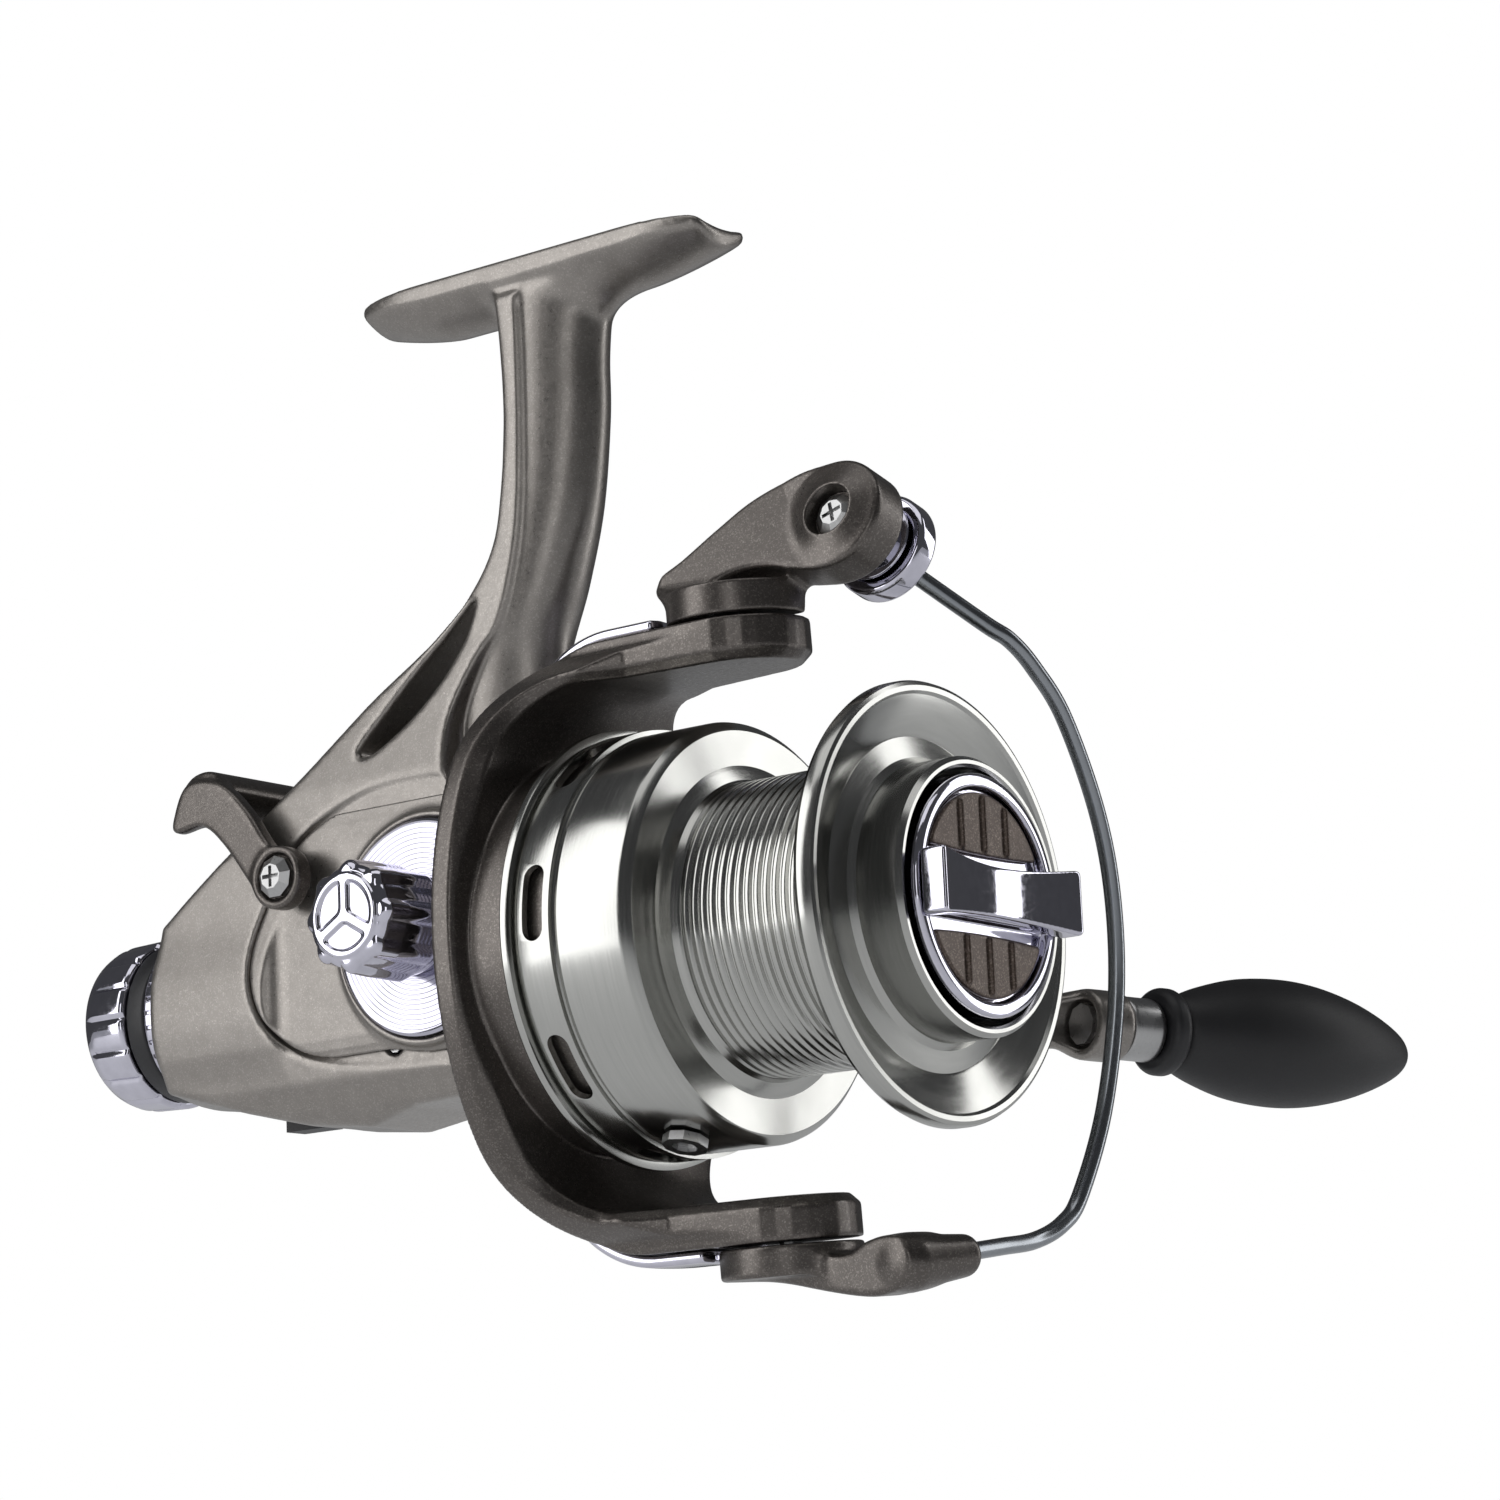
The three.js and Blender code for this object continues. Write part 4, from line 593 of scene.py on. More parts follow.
def make_body():
    g = Grid((CASE_REAR - 1.5, -16, -23), (FOOT_FRONT + 1.5, 20.5, SEAT_Z + 3), 0.42)
    case = frame_field(g)
    slit = smooth([(-73.9, 53.2), (-75.8, 48), (-79.6, 42.2), (-85.8, 36.4), (-92.4, 32.6),
                   (-94.2, 34), (-89.4, 39.4), (-84, 44.8), (-79.2, 49)], 5, True)
    case = minus(case, polygon(slit, g.X, g.Z), 0.7)
    cover = polygon(smooth(COVER_LINE, 6, True), g.X, g.Z)
    body = minus(case, common(cover - 0.35, g.Y + 11.4), 0.2)
    body = minus(body, frame_rooms(g), 0.2)
    cast_piece("cast_frame", g, body, "frame", ["body_frame"], "body_paint")
    k = Grid((-116, -16, -16), (CASE_FRONT + 1, -9, 30), 0.3)
    plate = common(frame_field(k), polygon(smooth(COVER_LINE, 6, True), k.X, k.Z), 0.5)
    plate = common(plate, k.Y + 11.75)
    plate = minus(plate, k.cylinder(DRIVE_AT, ACROSS, TRIM_R + 0.3, -30, -13.6), 0.1)
    plate = minus(plate, k.cylinder(DRIVE_AT, ACROSS, 4.1, -30, 0), 0.1)
    plate = minus(plate, k.cylinder(LEVER_AT, ACROSS, 1.6, -30, 0), 0.1)
    plate = common(plate, k.X - CASE_FRONT + 0.3)
    cast_piece("cover_shell", k, plate, "frame", ["side_cover"], "body_paint")


# ------------------------------------------------------------------ trim, caps and rear knob
def make_trim_disc():
    face = -15.1
    back = -13.9
    profile = [(4.3, back), (4.3, face + 0.3)]
    for i in range(14):
        r = 4.8 + i * 0.72
        profile += [(r, face), (r + 0.42, face), (r + 0.5, face + 0.14), (r + 0.64, face + 0.14)]
    profile += [(15.1, face), (TRIM_R, face + 0.4), (TRIM_R, back)]
    mesh_piece("ringed_trim_disc", *turned(profile, 160, matrix=aim(DRIVE_AT, ACROSS)),
               "frame", ["side_trim_disc"], "chrome", material=CHROME_DISC)


def make_screw_cap():
    """Lobed chrome cap with a raised three-armed relief on its face."""
    face = -30.9
    back = -15.6
    g = Grid((DRIVE_X - 9.5, -32, DRIVE_Z - 9.5), (DRIVE_X + 9.5, -14, DRIVE_Z + 9.5), 0.17)
    x, z = g.X - DRIVE_X, g.Z - DRIVE_Z
    angle = np.arctan2(z, x)
    r = np.sqrt(x * x + z * z)
    lobes = 0.62 * np.clip(np.cos(8 * angle), -0.2, 1) * np.clip((-17.5 - g.Y) / 2, 0, 1)
    barrel = np.interp(g.Y, [face, face + 1.6, face + 5, -19, -16.4, back],
                       [6.7, 7.7, 7.9, 8.0, 7.4, 5.8])
    cap = common(r - barrel - lobes + 0.3, np.maximum(face + 0.5 - g.Y, g.Y - back), 0.9)
    arms = np.abs(r - 5.4) - 0.5
    for i in range(3):
        a = math.pi / 2 + i * 2 * math.pi / 3
        across = np.abs(-x * math.sin(a) + z * math.cos(a)) - 0.75
        along = x * math.cos(a) + z * math.sin(a)
        arms = union(arms, np.maximum(across, np.maximum(-along, along - 5.6)), 0.7)
    relief = common(arms, np.maximum(face - g.Y, g.Y - face - 3), 0.25)
    cap = union(cap, relief, 0.35)
    cap = union(cap, g.cylinder(DRIVE_AT, ACROSS, 1.6, -22, -14.2))
    cast_piece("lobed_screw_cap", g, cap, "handle", ["handle_screw_cap"], "chrome")


def make_feeder_knob():
    back = about_axis(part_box("feeder_knob")[0]).x

    def flute(a, x, r):
        if r <= 10.5 or x <= back + 2:
            return 1
        return 1 - 0.035 * max(0, math.cos(16 * a)) ** 6

    profile = rounded([(0, back + 0.5), (6.4, back + 0.5), (6.9, back), (9.6, back), (11.9, back + 1.2),
                       (12.7, back + 3.2), (12.9, back + 9.2), (12.4, back + 9.8), (5.2, back + 9.8),
                       (5.2, back + 4), (0, back + 4)], 0.6, 4)
    mesh_piece("fluted_feeder_knob", *turned(profile, 320, flute),
               "feeder_knob", ["feeder_knob"], "chrome")


def make_index_ring():
    low, high = (about_axis(c).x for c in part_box("rear_index_ring"))
    ticks = 36

    def swell(a, x, r):
        mark = math.cos(ticks * a) > 0.72 and r > 10 and low + 0.9 < x < high - 0.9
        return 0.982 if mark else 1

    profile = [(5.8, low), (12.1, low), (12.7, low + 0.5), (12.8, low + 0.85), (12.8, low + 0.95),
               (12.8, high - 0.95), (12.8, high - 0.85), (12.7, high - 0.3), (12.3, high), (5.8, high)]
    mesh_piece("ticked_index_ring", *turned(profile, 432, swell), "frame", ["rear_index_ring"], "chrome")
    low, high = (about_axis(c).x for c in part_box("feeder_band"))
    profile = rounded([(5.8, low), (12.2, low), (12.2, high), (5.8, high)], 0.5, 3, True)
    mesh_piece("ribbed_band", *turned(profile, 128), "feeder_knob", ["feeder_band"], "black_plastic")


# ------------------------------------------------------------------ rotor
ARM_OUT = 42.5  # outer face of the rotor's arms
ROTOR_BACK = -63.3
CORNER_R = 16  # outer corners, where the arms meet the back plate
CORNER_X = ROTOR_BACK + CORNER_R
CORNER_Z = ARM_OUT - CORNER_R
PIVOT_R = 9.9  # round ends of the arms, and the bail's discs on them
PIN_BORE = 1.9
CUP_FRONT = -44


def arc(cx, cz, r, start, end, steps=14):
    """Points along an arc, from one angle in degrees to the other."""
    angles = [math.radians(start + (end - start) * i / steps) for i in range(steps + 1)]
    return [(cx + r * math.cos(a), cz + r * math.sin(a)) for a in angles]


def mirrored(half):
    """A half outline above the axis, carried on below it."""
    return half + [(x, -z) for x, z in reversed(half)]


def rotor_yoke(g):
    """Back plate and arms, with a chamfer round their inner edge."""
    tip = ARM_X + PIVOT_R
    deep = ARM_OUT - 6
    outer = mirrored([(tip, ARM_OUT)] + arc(CORNER_X, CORNER_Z, CORNER_R, 90, 180))
    inner = mirrored([(tip + 20, deep)] + arc(ROTOR_BACK + 15, deep - 10, 10, 90, 180))
    wall = polygon(inner, g.X, g.Z)
    side = common(polygon(outer, g.X, g.Z), -wall, 0.35)
    front = (np.sqrt((g.Y / 31) ** 2 + (g.Z / (ARM_OUT + 0.6)) ** 2) - 1) * 31
    front = union(front, np.maximum(np.abs(g.Y) - PIVOT_R, np.abs(g.Z) - ARM_OUT - 2), 1)
    top = arc(ARM_X, 0, PIVOT_R, -90, 90)
    top += [(-42, 11.2), (-52, 17.5), (-60, 32), (-64.5, 34)]
    top += [(-64.5, -34), (-60, -32), (-52, -17.5), (-42, -11.2)]
    edge = common(front, polygon(top, g.X, g.Y), 0.3)
    slope = np.interp(g.X, [-60, -50], [1.9, 1.4])
    return common(common(side, edge, 0.35), (edge + slope - wall) * 0.707, 0.2)


def make_rotor():
    g = Grid((-65, -33, -44.5), (-18, 33, 44.5), 0.36)
    cup = minus(g.cylinder(ORIGIN, ALONG, 28.2, ROTOR_BACK + 2, CUP_FRONT),
                g.cylinder(ORIGIN, ALONG, 26.2, ROTOR_BACK + 5, CUP_FRONT - 2))
    body = union(rotor_yoke(g), cup, 0.5)
    body = union(body, g.cylinder(ORIGIN, ALONG, 8, -49.2, CUP_FRONT), 0.8)
    body = minus(body, g.cylinder(ORIGIN, ALONG, 12.6, -80, -49.3), 0.3)
    body = minus(body, g.cylinder(ORIGIN, ALONG, 3.7, -80, -30), 0.1)
    for i in range(4):
        a = math.pi / 4 + i * math.pi / 2
        window = (0, 17.5 * math.cos(a), 17.5 * math.sin(a))
        body = minus(body, g.cylinder(window, ALONG, 5, CUP_FRONT - 4, CUP_FRONT + 4), 0.3)
    for sign in (1, -1):
        body = minus(body, g.cylinder(PIVOT_AT, (0, 0, sign), PIN_BORE, ARM_OUT - 5, 60), 0.2)
    cast_piece("cast_rotor", g, body, "rotor", ["rotor"], "rotor_paint", ROTOR_TO_ROW, blur=0)


def make_arm_covers():
    """Bright curved plates on the rotor's outer corners, hollowed at the front for the bail's discs."""
    for name, sign in (("upper", 1), ("lower", -1)):
        z0, z1 = sorted((sign * 34.5, sign * 46))
        g = Grid((-66.5, -9, z0), (-38, 9, z1), 0.2)
        up = sign * g.Z - CORNER_Z
        out = np.where(g.X < CORNER_X, np.sqrt((g.X - CORNER_X) ** 2 + up ** 2), up)
        crown = 18.1 - 0.35 * (g.Y / 8) ** 2
        plate = common(np.maximum(16.15 - out, out - crown), np.abs(g.Y) - 7.8, 0.7)
        behind = -(up - 0.62 * (CORNER_X - g.X)) * 0.85
        plate = common(plate, behind, 0.7)
        plate = common(plate, g.X + 39.2, 0.6)
        plate = minus(plate, g.cylinder(PIVOT_AT, UP, PIVOT_R + 0.7, -60, 60), 0.5)
        cast_piece("bright_corner_" + name, g, plate, "rotor", ["arm_cover_" + name], "chrome",
                   ROTOR_TO_ROW, blur=0)


# ------------------------------------------------------------------ bail
DISC_LOW = ARM_OUT + 0.3
PIN_TOP = 45.5
HEAD_R = 7.7  # roller end of the arm
HEAD_RIM = -3.4  # its two ends along the roller's axis
HEAD_OUT = 2.5
# outline of the bail arm seen along the roller: first down the arm, then across it
ARM_LINE = [(-7.5, 0), (-6.5, 4), (-3.3, 7.3), (3.1, 9.5), (10.5, 9.2), (16.5, 7.3), (22.6, 4.9),
            (26.5, 3.6), (27.5, 1), (24, -1), (16, -1.2), (11.5, -2.6), (7.2, -5.4), (3.4, -7.3),
            (-1.5, -7.6), (-5.8, -4.8)]
# side outline of the lower arm's paddle
PADDLE_LINE = [(-36, -44), (-26, -44.4), (-17.7, -45), (-14, -43.7), (-10.6, -43.1), (-7.4, -43.6),
               (-6, -46.4), (-7.4, -49.6), (-11.4, -50.9), (-16, -50.7), (-24, -49.1), (-31, -47.3),
               (-37, -46)]
WIRE_R = 1.2
WIRE_POINTS = [
    (-9.2, 11.6, 48.1), (-7.8, 13.4, 46.3), (-2.6, 20.2, 39.8), (-0.7, 23.2, 37.4), (0.2, 27.2, 33.7),
    (0.8, 32.8, 27), (0.6, 39.4, 14.1), (0.1, 42.2, 1.8), (-1.1, 42.4, -12.2), (-2.7, 39, -27.5),
    (-3.8, 32.5, -39.2), (-4.3, 28, -43), (-5.1, 22, -45), (-5.2, 13.6, -45.6), (-5.4, 4, -46.2),
]


def make_bail_arm():
    """A flat arm that rises from its disc to the round head that carries the roller."""
    g = Grid((ARM_X - 11.5, -14, DISC_LOW - 1), (-3.5, 12, 68), 0.22)
    u = Vector((-24.2, -4.2, -9.0))
    u = (u - ROLLER_DIR * u.dot(ROLLER_DIR)).normalized()
    v = ROLLER_DIR.cross(u)
    dx, dy, dz = g.X - ROLLER_AT.x, g.Y - ROLLER_AT.y, g.Z - ROLLER_AT.z
    along, across, depth = (dx * d.x + dy * d.y + dz * d.z for d in (u, v, ROLLER_DIR))
    outline = polygon(smooth(ARM_LINE, 6, True), along, across)
    near = np.interp(along, [0, 6, 26], [HEAD_RIM, -3.9, -8.2])
    slab = common(outline, np.maximum(near - depth, depth - HEAD_OUT), 0.8)
    pivot_line = np.sqrt((g.X - ARM_X) ** 2 + g.Y ** 2) - PIVOT_R
    slab = common(slab, union(45.4 - g.Z, pivot_line, 1.2), 0.5)
    arm = union(g.cylinder(PIVOT_AT, UP, PIVOT_R, DISC_LOW + 0.1, 47.4, 0.5), slab, 1.8)
    radial = np.sqrt(along ** 2 + across ** 2)
    dome = (HEAD_RIM - depth + (radial - HEAD_R) * 0.4) * 0.93
    head = common(np.maximum(radial - HEAD_R, depth - HEAD_OUT), dome, 0.7)
    arm = union(arm, head, 0.8)
    arm = common(arm, DISC_LOW + 0.05 - g.Z, 0.3)
    arm = common(arm, depth - HEAD_OUT, 0.3)
    arm = minus(arm, g.cylinder(ROLLER_AT, ROLLER_DIR, 3.7, -16, -2.2), 0.3)
    arm = minus(arm, g.cylinder(ROLLER_AT, ROLLER_DIR, 1.7, -12, 12))
    arm = minus(arm, g.cylinder(PIVOT_AT, UP, PIN_BORE, 40, PIN_TOP))
    cast_piece("cast_bail_arm", g, arm, "bail", ["bail_arm"], "rotor_paint", ROTOR_TO_ROW, blur=0)


def make_lower_arm():
    """A disc and a paddle with the socket for the wire's end."""
    g = Grid((ARM_X - 11.5, -12, -53), (1, 12, -DISC_LOW + 1), 0.22)
    down = (0, 0, -1)
    disc = g.cylinder(PIVOT_AT, down, PIVOT_R, DISC_LOW + 0.1, 47.2, 0.6)
    outline = polygon(smooth(PADDLE_LINE, 6, True), g.X, g.Z)
    lean = (g.X + 20) * 0.09
    paddle = common(outline, np.maximum(-5.3 - lean - g.Y, g.Y - 0.6), 0.9)
    socket = g.rod((-8.4, -2.6, -46.9), (-5.9, 5.4, -46.5), 3.7, 2.9)
    socket = common(socket, g.Y - 5.9, 0.4)
    arm = union(union(disc, paddle, 1.8), socket, 1.6)
    arm = common(arm, g.Z + DISC_LOW + 0.05, 0.3)
    end, before = Vector(WIRE_POINTS[-1]), Vector(WIRE_POINTS[-2])
    arm = minus(arm, g.cylinder(end, before - end, WIRE_R + 0.25, -0.5, 30), 0.2)
    arm = minus(arm, g.cylinder(PIVOT_AT, down, PIN_BORE, 40, PIN_TOP))
    cast_piece("cast_lower_arm", g, arm, "bail", ["bail_arm_lower"], "rotor_paint", ROTOR_TO_ROW)


def swept(path, radius, sides=28):
    """A round bar along a list of points, with flat ends."""
    p = [Vector(q) for q in path]
    points, faces, rings = [], [], []
    across = (p[1] - p[0]).normalized().orthogonal()
    for i, at in enumerate(p):
        along = (p[min(i + 1, len(p) - 1)] - p[max(i - 1, 0)]).normalized()
        across = (across - along * across.dot(along)).normalized()
        up = along.cross(across)
        rings.append(len(points))
        for k in range(sides):
            a = 2 * math.pi * k / sides
            points.append(at + (across * math.cos(a) + up * math.sin(a)) * radius)
    for low, high in zip(rings, rings[1:]):
        for k in range(sides):
            after = (k + 1) % sides
            faces.append((low + k, low + after, high + after, high + k))
    faces.append(tuple(reversed(range(sides))))
    faces.append(tuple(rings[-1] + k for k in range(sides)))
    return points, faces


def make_wire():
    mesh_piece("bent_bail_wire", *swept(smooth(WIRE_POINTS, 20), WIRE_R),
               "bail", ["bail_wire"], "wire_steel", ROTOR_TO_ROW)


def make_roller():
    at = aim(ROLLER_AT, ROLLER_DIR)
    profile = rounded([(2.65, 3.1), (5.8, 3.1), (5.8, 3.5), (4.5, 4.1), (4.2, 4.75), (4.5, 5.4),
                       (5.8, 6.0), (5.8, 6.4), (2.65, 6.4)], 0.2, 4, True)
    mesh_piece("grooved_line_roller", *turned(profile, 96, matrix=at),
               "line_roller", ["line_roller"], "chrome", ROTOR_TO_ROW)
    profile = rounded([(0, 8.2), (1.65, 8.2), (1.65, 7), (7.0, 7), (7.5, 7.5), (7.5, 10.4), (6.8, 11.0),
                       (5.9, 11.1), (5.4, 10.8), (0, 10.9)], 0.3, 4)
    mesh_piece("domed_wire_cap", *turned(profile, 96, matrix=at),
               "bail", ["wire_cap"], "chrome", ROTOR_TO_ROW)


# ------------------------------------------------------------------ spool
HUB_R = 18.8
ARBOR_R = 20.5
ARBOR_BACK = -30.4
SKIRT_BACK = -51.28
SLOT_X = -46.3
SLOT_R = 1.75


def arbor_grooves(start=-7.2, pitch=1.5, count=15):
    """Shallow grooves turned round the arbor, one after the other."""
    made = []
    for i in range(count):
        x = start - i * pitch
        made += [(ARBOR_R, x), (ARBOR_R - 0.04, x - 0.1), (ARBOR_R - 0.4, x - 0.42)]
        made += [(ARBOR_R - 0.4, x - 0.58), (ARBOR_R - 0.04, x - 0.9), (ARBOR_R, x - 1.0)]
    return made


def spool_profile():
    back = ARBOR_BACK
    hub = [(17.3, -4.5), (17.3, 5.6), (17.7, 6), (18.2, 6), (HUB_R, 5.3), (HUB_R, -0.9), (19.7, -1.7)]
    lip = [(22.6, -2.5), (23.0, -2.2), (28.1, -0.5), (28.5, -0.05), (29.2, 0), (29.7, -0.25),
           (29.98, -0.9), (29.98, -2.2), (29.6, -2.9), (28.6, -3.3), (23, -4.7), (21.2, -5.3),
           (ARBOR_R, -6.2)]
    flange = [(ARBOR_R, back + 1.4), (20.9, back + 0.5), (22.2, back), (22.6, back - 0.2),
              (23, back - 0.4), (27.9, back - 0.4), (28.3, back - 0.6), (29.2, back - 1.6)]
    skirt = [(29.3, back - 2), (29.3, -42.6), (29.0, -42.8), (29.0, -43.2), (29.3, -43.4), (29.95, -43.5),
             (29.98, -43.8), (29.98, -48.8), (29.9, -49.1), (29.2, -49.25), (29.2, -49.7), (30.2, -49.8),
             (30.9, -50.0), (30.98, -50.3), (30.98, -51.0), (30.8, SKIRT_BACK), (28.95, SKIRT_BACK)]
    inside = [(28.9, -51.0), (28.9, back - 2.8), (27.4, back - 2.2), (18.9, back - 2.2), (18.3, back),
              (18.3, -8.5), (6, -9), (5, back + 2), (2.05, back + 2), (2.05, -4.5)]
    return hub + lip + arbor_grooves() + flange + skirt + inside


def skirt_slot(angle):
    """A tool that cuts one oblong hole through the skirt."""
    outline = []
    for middle, start in ((3.5, 0), (-3.5, 180)):
        outline += arc(SLOT_X, middle, SLOT_R, start, start + 180, 12)
    n = len(outline)
    points = [(x, across, height) for height in (27, 33) for x, across in outline]
    sides = [(k, (k + 1) % n, n + (k + 1) % n, n + k) for k in range(n)]
    data = bpy.data.meshes.new("skirt_slot")
    data.from_pydata(points, [], sides + [tuple(reversed(range(n))), tuple(range(n, 2 * n))])
    data.transform(TO_ROW @ Matrix.Rotation(angle - math.pi / 2, 4, "X"))
    cutter = bpy.data.objects.new("skirt_slot", data)
    bpy.context.scene.collection.objects.link(cutter)
    return cutter


def make_spool():
    piece = mesh_piece("turned_spool", *turned(spool_profile(), 192),
                       "spool", ["spool"], "spool_metal", sharp=24)
    carve(piece, [skirt_slot(math.pi / 4 * i - 0.1) for i in range(8)])
    piece.data.set_sharp_from_angle(angle=math.radians(24))


def carve(piece, cutters):
    """Cuts the tools out of a piece and removes them."""
    for cutter in cutters:
        step = piece.modifiers.new("cut", "BOOLEAN")
        step.object = cutter
        step.operation = "DIFFERENCE"
        step.solver = "EXACT"
    depsgraph = bpy.context.evaluated_depsgraph_get()
    made = bpy.data.meshes.new_from_object(piece.evaluated_get(depsgraph))
    piece.modifiers.clear()
    old = piece.data
    piece.data = made
    bpy.data.meshes.remove(old)
    for cutter in cutters:
        bpy.data.objects.remove(cutter)


# ------------------------------------------------------------------ front drag knob
KNOB_BACK, KNOB_FACE = (about_axis(corner).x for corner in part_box("drag_knob"))


def make_drag_knob():
    """The chrome ring, sunk inside on both sides of the grip."""
    g = Grid((KNOB_BACK - 1, -17.5, -17.5), (KNOB_FACE + 1, 17.5, 17.5), 0.26)
    disc = g.cylinder(ORIGIN, ALONG, 16.4, KNOB_BACK, KNOB_FACE, 0.8)
    bowl = g.cylinder(ORIGIN, ALONG, 14.4, KNOB_FACE - 1.5, 40)
    bowl = common(bowl, 3.5 - np.abs(g.Z), 0.6)
    disc = minus(disc, bowl, 0.3)
    disc = minus(disc, g.cylinder(ORIGIN, ALONG, 2.2, -20, 3.1), 0.1)
    cast_piece("drag_knob_ring", g, disc, "drag_knob", ["drag_knob"], "chrome")


def make_inserts():
    for name, sign in (("upper", 1), ("lower", -1)):
        g = Grid((KNOB_FACE - 2, -15, sign * 9 - 6.5), (KNOB_FACE + 1.2, 15, sign * 9 + 6.5), 0.2)
        round_edge = np.sqrt(g.Y ** 2 + g.Z ** 2) - 13.8
        flat = 5.3 + 0.25 * np.clip(np.abs(g.Y) / 10, 0, 2) ** 2 - sign * g.Z
        thick = np.maximum(KNOB_FACE - 1.3 - g.X, g.X - KNOB_FACE + 0.4)
        plate = common(common(round_edge, flat, 0.8), thick, 0.25)
        tall = np.maximum(KNOB_FACE - 1 - g.X, g.X - KNOB_FACE - 0.2)
        for y in (-5.2, 0, 5.2):
            high = math.sqrt(13.3 ** 2 - y * y)
            low = 5.7
            long = np.abs(sign * g.Z - (high + low) / 2) - (high - low) / 2
            rib = np.maximum(np.abs(g.Y - y) - 0.3, long)
            plate = union(plate, common(rib, tall, 0.15), 0.1)
        cast_piece("sparkle_insert_" + name, g, plate, "drag_knob", ["drag_knob_insert_" + name],
                   "insert_paint")


def make_grip():
    """The waisted bar across the knob, higher and wider at its ends."""
    low, high = (about_axis(c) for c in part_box("drag_knob_grip"))
    g = Grid((low.x - 0.6, -17.5, -5.6), (high.x + 0.6, 17.5, 5.6), 0.17)
    half = 16.2
    spread = np.clip(np.abs(g.Y) / half, 0, 1) ** 1.8
    waist = (np.abs(g.Z) - 3.4 - 1.1 * spread) * 0.98
    top = high.x - 2.3 + 2.2 * spread
    grip = common(common(waist, np.abs(g.Y) - half, 0.8), np.maximum(low.x - g.X, g.X - top), 0.45)
    cast_piece("waisted_grip", g, grip, "drag_knob", ["drag_knob_grip"], "chrome")


# ------------------------------------------------------------------ feeder lever
def make_lever():
    g = Grid((LEVER_X - 24, -19.5, LEVER_Z - 6), (LEVER_X + 6, 19.5, LEVER_Z + 21), 0.3)
    px, pz = LEVER_X, LEVER_Z
    cheek = smooth([(px + 4.2, pz - 0.5), (px + 2, pz - 4), (px - 2.4, pz - 3.8), (px - 5.6, pz - 0.2),
                    (px - 10.5, pz + 6), (px - 15, pz + 9.6), (px - 20.6, pz + 9.4), (px - 20.4, pz + 12.6),
                    (px - 17.6, pz + 16.4), (px - 11, pz + 15.4), (px - 6, pz + 11), (px - 1.4, pz + 5),
                    (px + 3, pz + 3)], 6, True)
    shape = polygon(cheek, g.X, g.Z)
    cheeks = common(shape, np.abs(np.abs(g.Y) - 16.4) - 1.35, 0.8)
    bridge = smooth([(px - 19.2, pz + 11.9), (px - 14.5, pz + 12), (px - 11.4, pz + 14.8),
                     (px - 14, pz + 17.9), (px - 18, pz + 17.6), (px - 20.2, pz + 14.6)], 6, True)
    beam = common(polygon(bridge, g.X, g.Z), np.abs(g.Y) - 16.6, 1)
    lever = union(cheeks, beam, 1.2)
    for sign in (1, -1):
        out = (0, sign, 0)
        lever = union(lever, g.cylinder(LEVER_AT, out, 4.6, 15.1, 17.9, 0.5), 0.8)
        lever = minus(lever, g.cylinder(LEVER_AT, out, 3.5, 16.85, 30), 0.3)
        lever = minus(lever, g.cylinder(LEVER_AT, out, 1.9, 10, 30))
    cast_piece("forked_lever", g, lever, "feeder_lever", ["feeder_lever"], "rotor_paint")


# ------------------------------------------------------------------ handle
HUB_Y = 34  # where the handle arm starts
GRIP_START = 9.7
GRIP_LONG = 44.5


def make_handle():
    low, high = (about_axis(c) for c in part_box("handle_arm"))
    g = Grid((low.x - 1, low.y - 1, low.z - 1), (high.x + 1, high.y + 1, high.z + 1), 0.36)
    mid = KNOB_AT - KNOB_DIR * 3.2
    path = smooth([(DRIVE_X, HUB_Y + 0.2, DRIVE_Z), (-66, 37.4, 2.6), (-48, 46.2, -2.4),
                   (-32, 54.6, -6.4), (mid.x, mid.y, mid.z)], 4)
    field = None
    for k, (a, b) in enumerate(zip(path, path[1:])):
        thin = 0.5 * k / (len(path) - 1)
        for lift in (-1.6, 1.6):
            rise = Vector((0, 0, lift))
            spot = g.rod(Vector(a) + rise, Vector(b) + rise, 2.9 - thin, 2.85 - thin)
            field = spot if field is None else union(field, spot, 1.2)
    hub = g.cylinder(DRIVE_AT, ACROSS, 5.5, HUB_Y - 3.2, HUB_Y + 3.5, 0.8)
    field = union(field, hub, 2)
    field = union(field, g.cylinder(KNOB_AT, KNOB_DIR, 5.25, -6.3, 0, 0.5), 1.6)
    field = minus(field, g.cylinder(KNOB_AT, KNOB_DIR, 2.2, -20, 20))
    field = minus(field, g.cylinder(KNOB_AT, KNOB_DIR, 3.6, -20, -5.2), 0.2)
    cast_piece("cast_handle_arm", g, field, "handle", ["handle_arm"], "body_paint")


def make_handle_turnings():
    at = aim(KNOB_AT, KNOB_DIR)
    low, high = (about_axis(c).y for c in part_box("handle_shank"))
    shank = rounded([(0, low), (6.4, low), (7, low + 0.9), (6.6, low + 2), (5.3, low + 4.2),
                     (4.6, high - 2.6), (5.3, high - 1.6), (5.3, high), (0, high)], 0.6, 4)
    mesh_piece("turned_shank", *turned(shank, 96, matrix=aim(DRIVE_AT, ACROSS)),
               "handle", ["handle_shank"], "body_paint")
    collar = rounded([(2.1, 0.3), (4.5, 0.3), (4.7, 0.8), (4.7, 5.2), (4.4, 6), (2.1, 6)], 0.3, 3, True)
    mesh_piece("turned_collar", *turned(collar, 96, matrix=at), "handle", ["knob_collar"], "steel")
    neck = rounded([(2.1, 6.3), (5.8, 6.3), (6.5, 7.1), (6.5, 8.7), (6.1, 9.4), (2.1, 9.4)], 0.5, 4, True)
    mesh_piece("moulded_neck", *turned(neck, 96, matrix=at), "handle_knob", ["knob_neck"], "black_plastic")
    make_knob_grip(at)


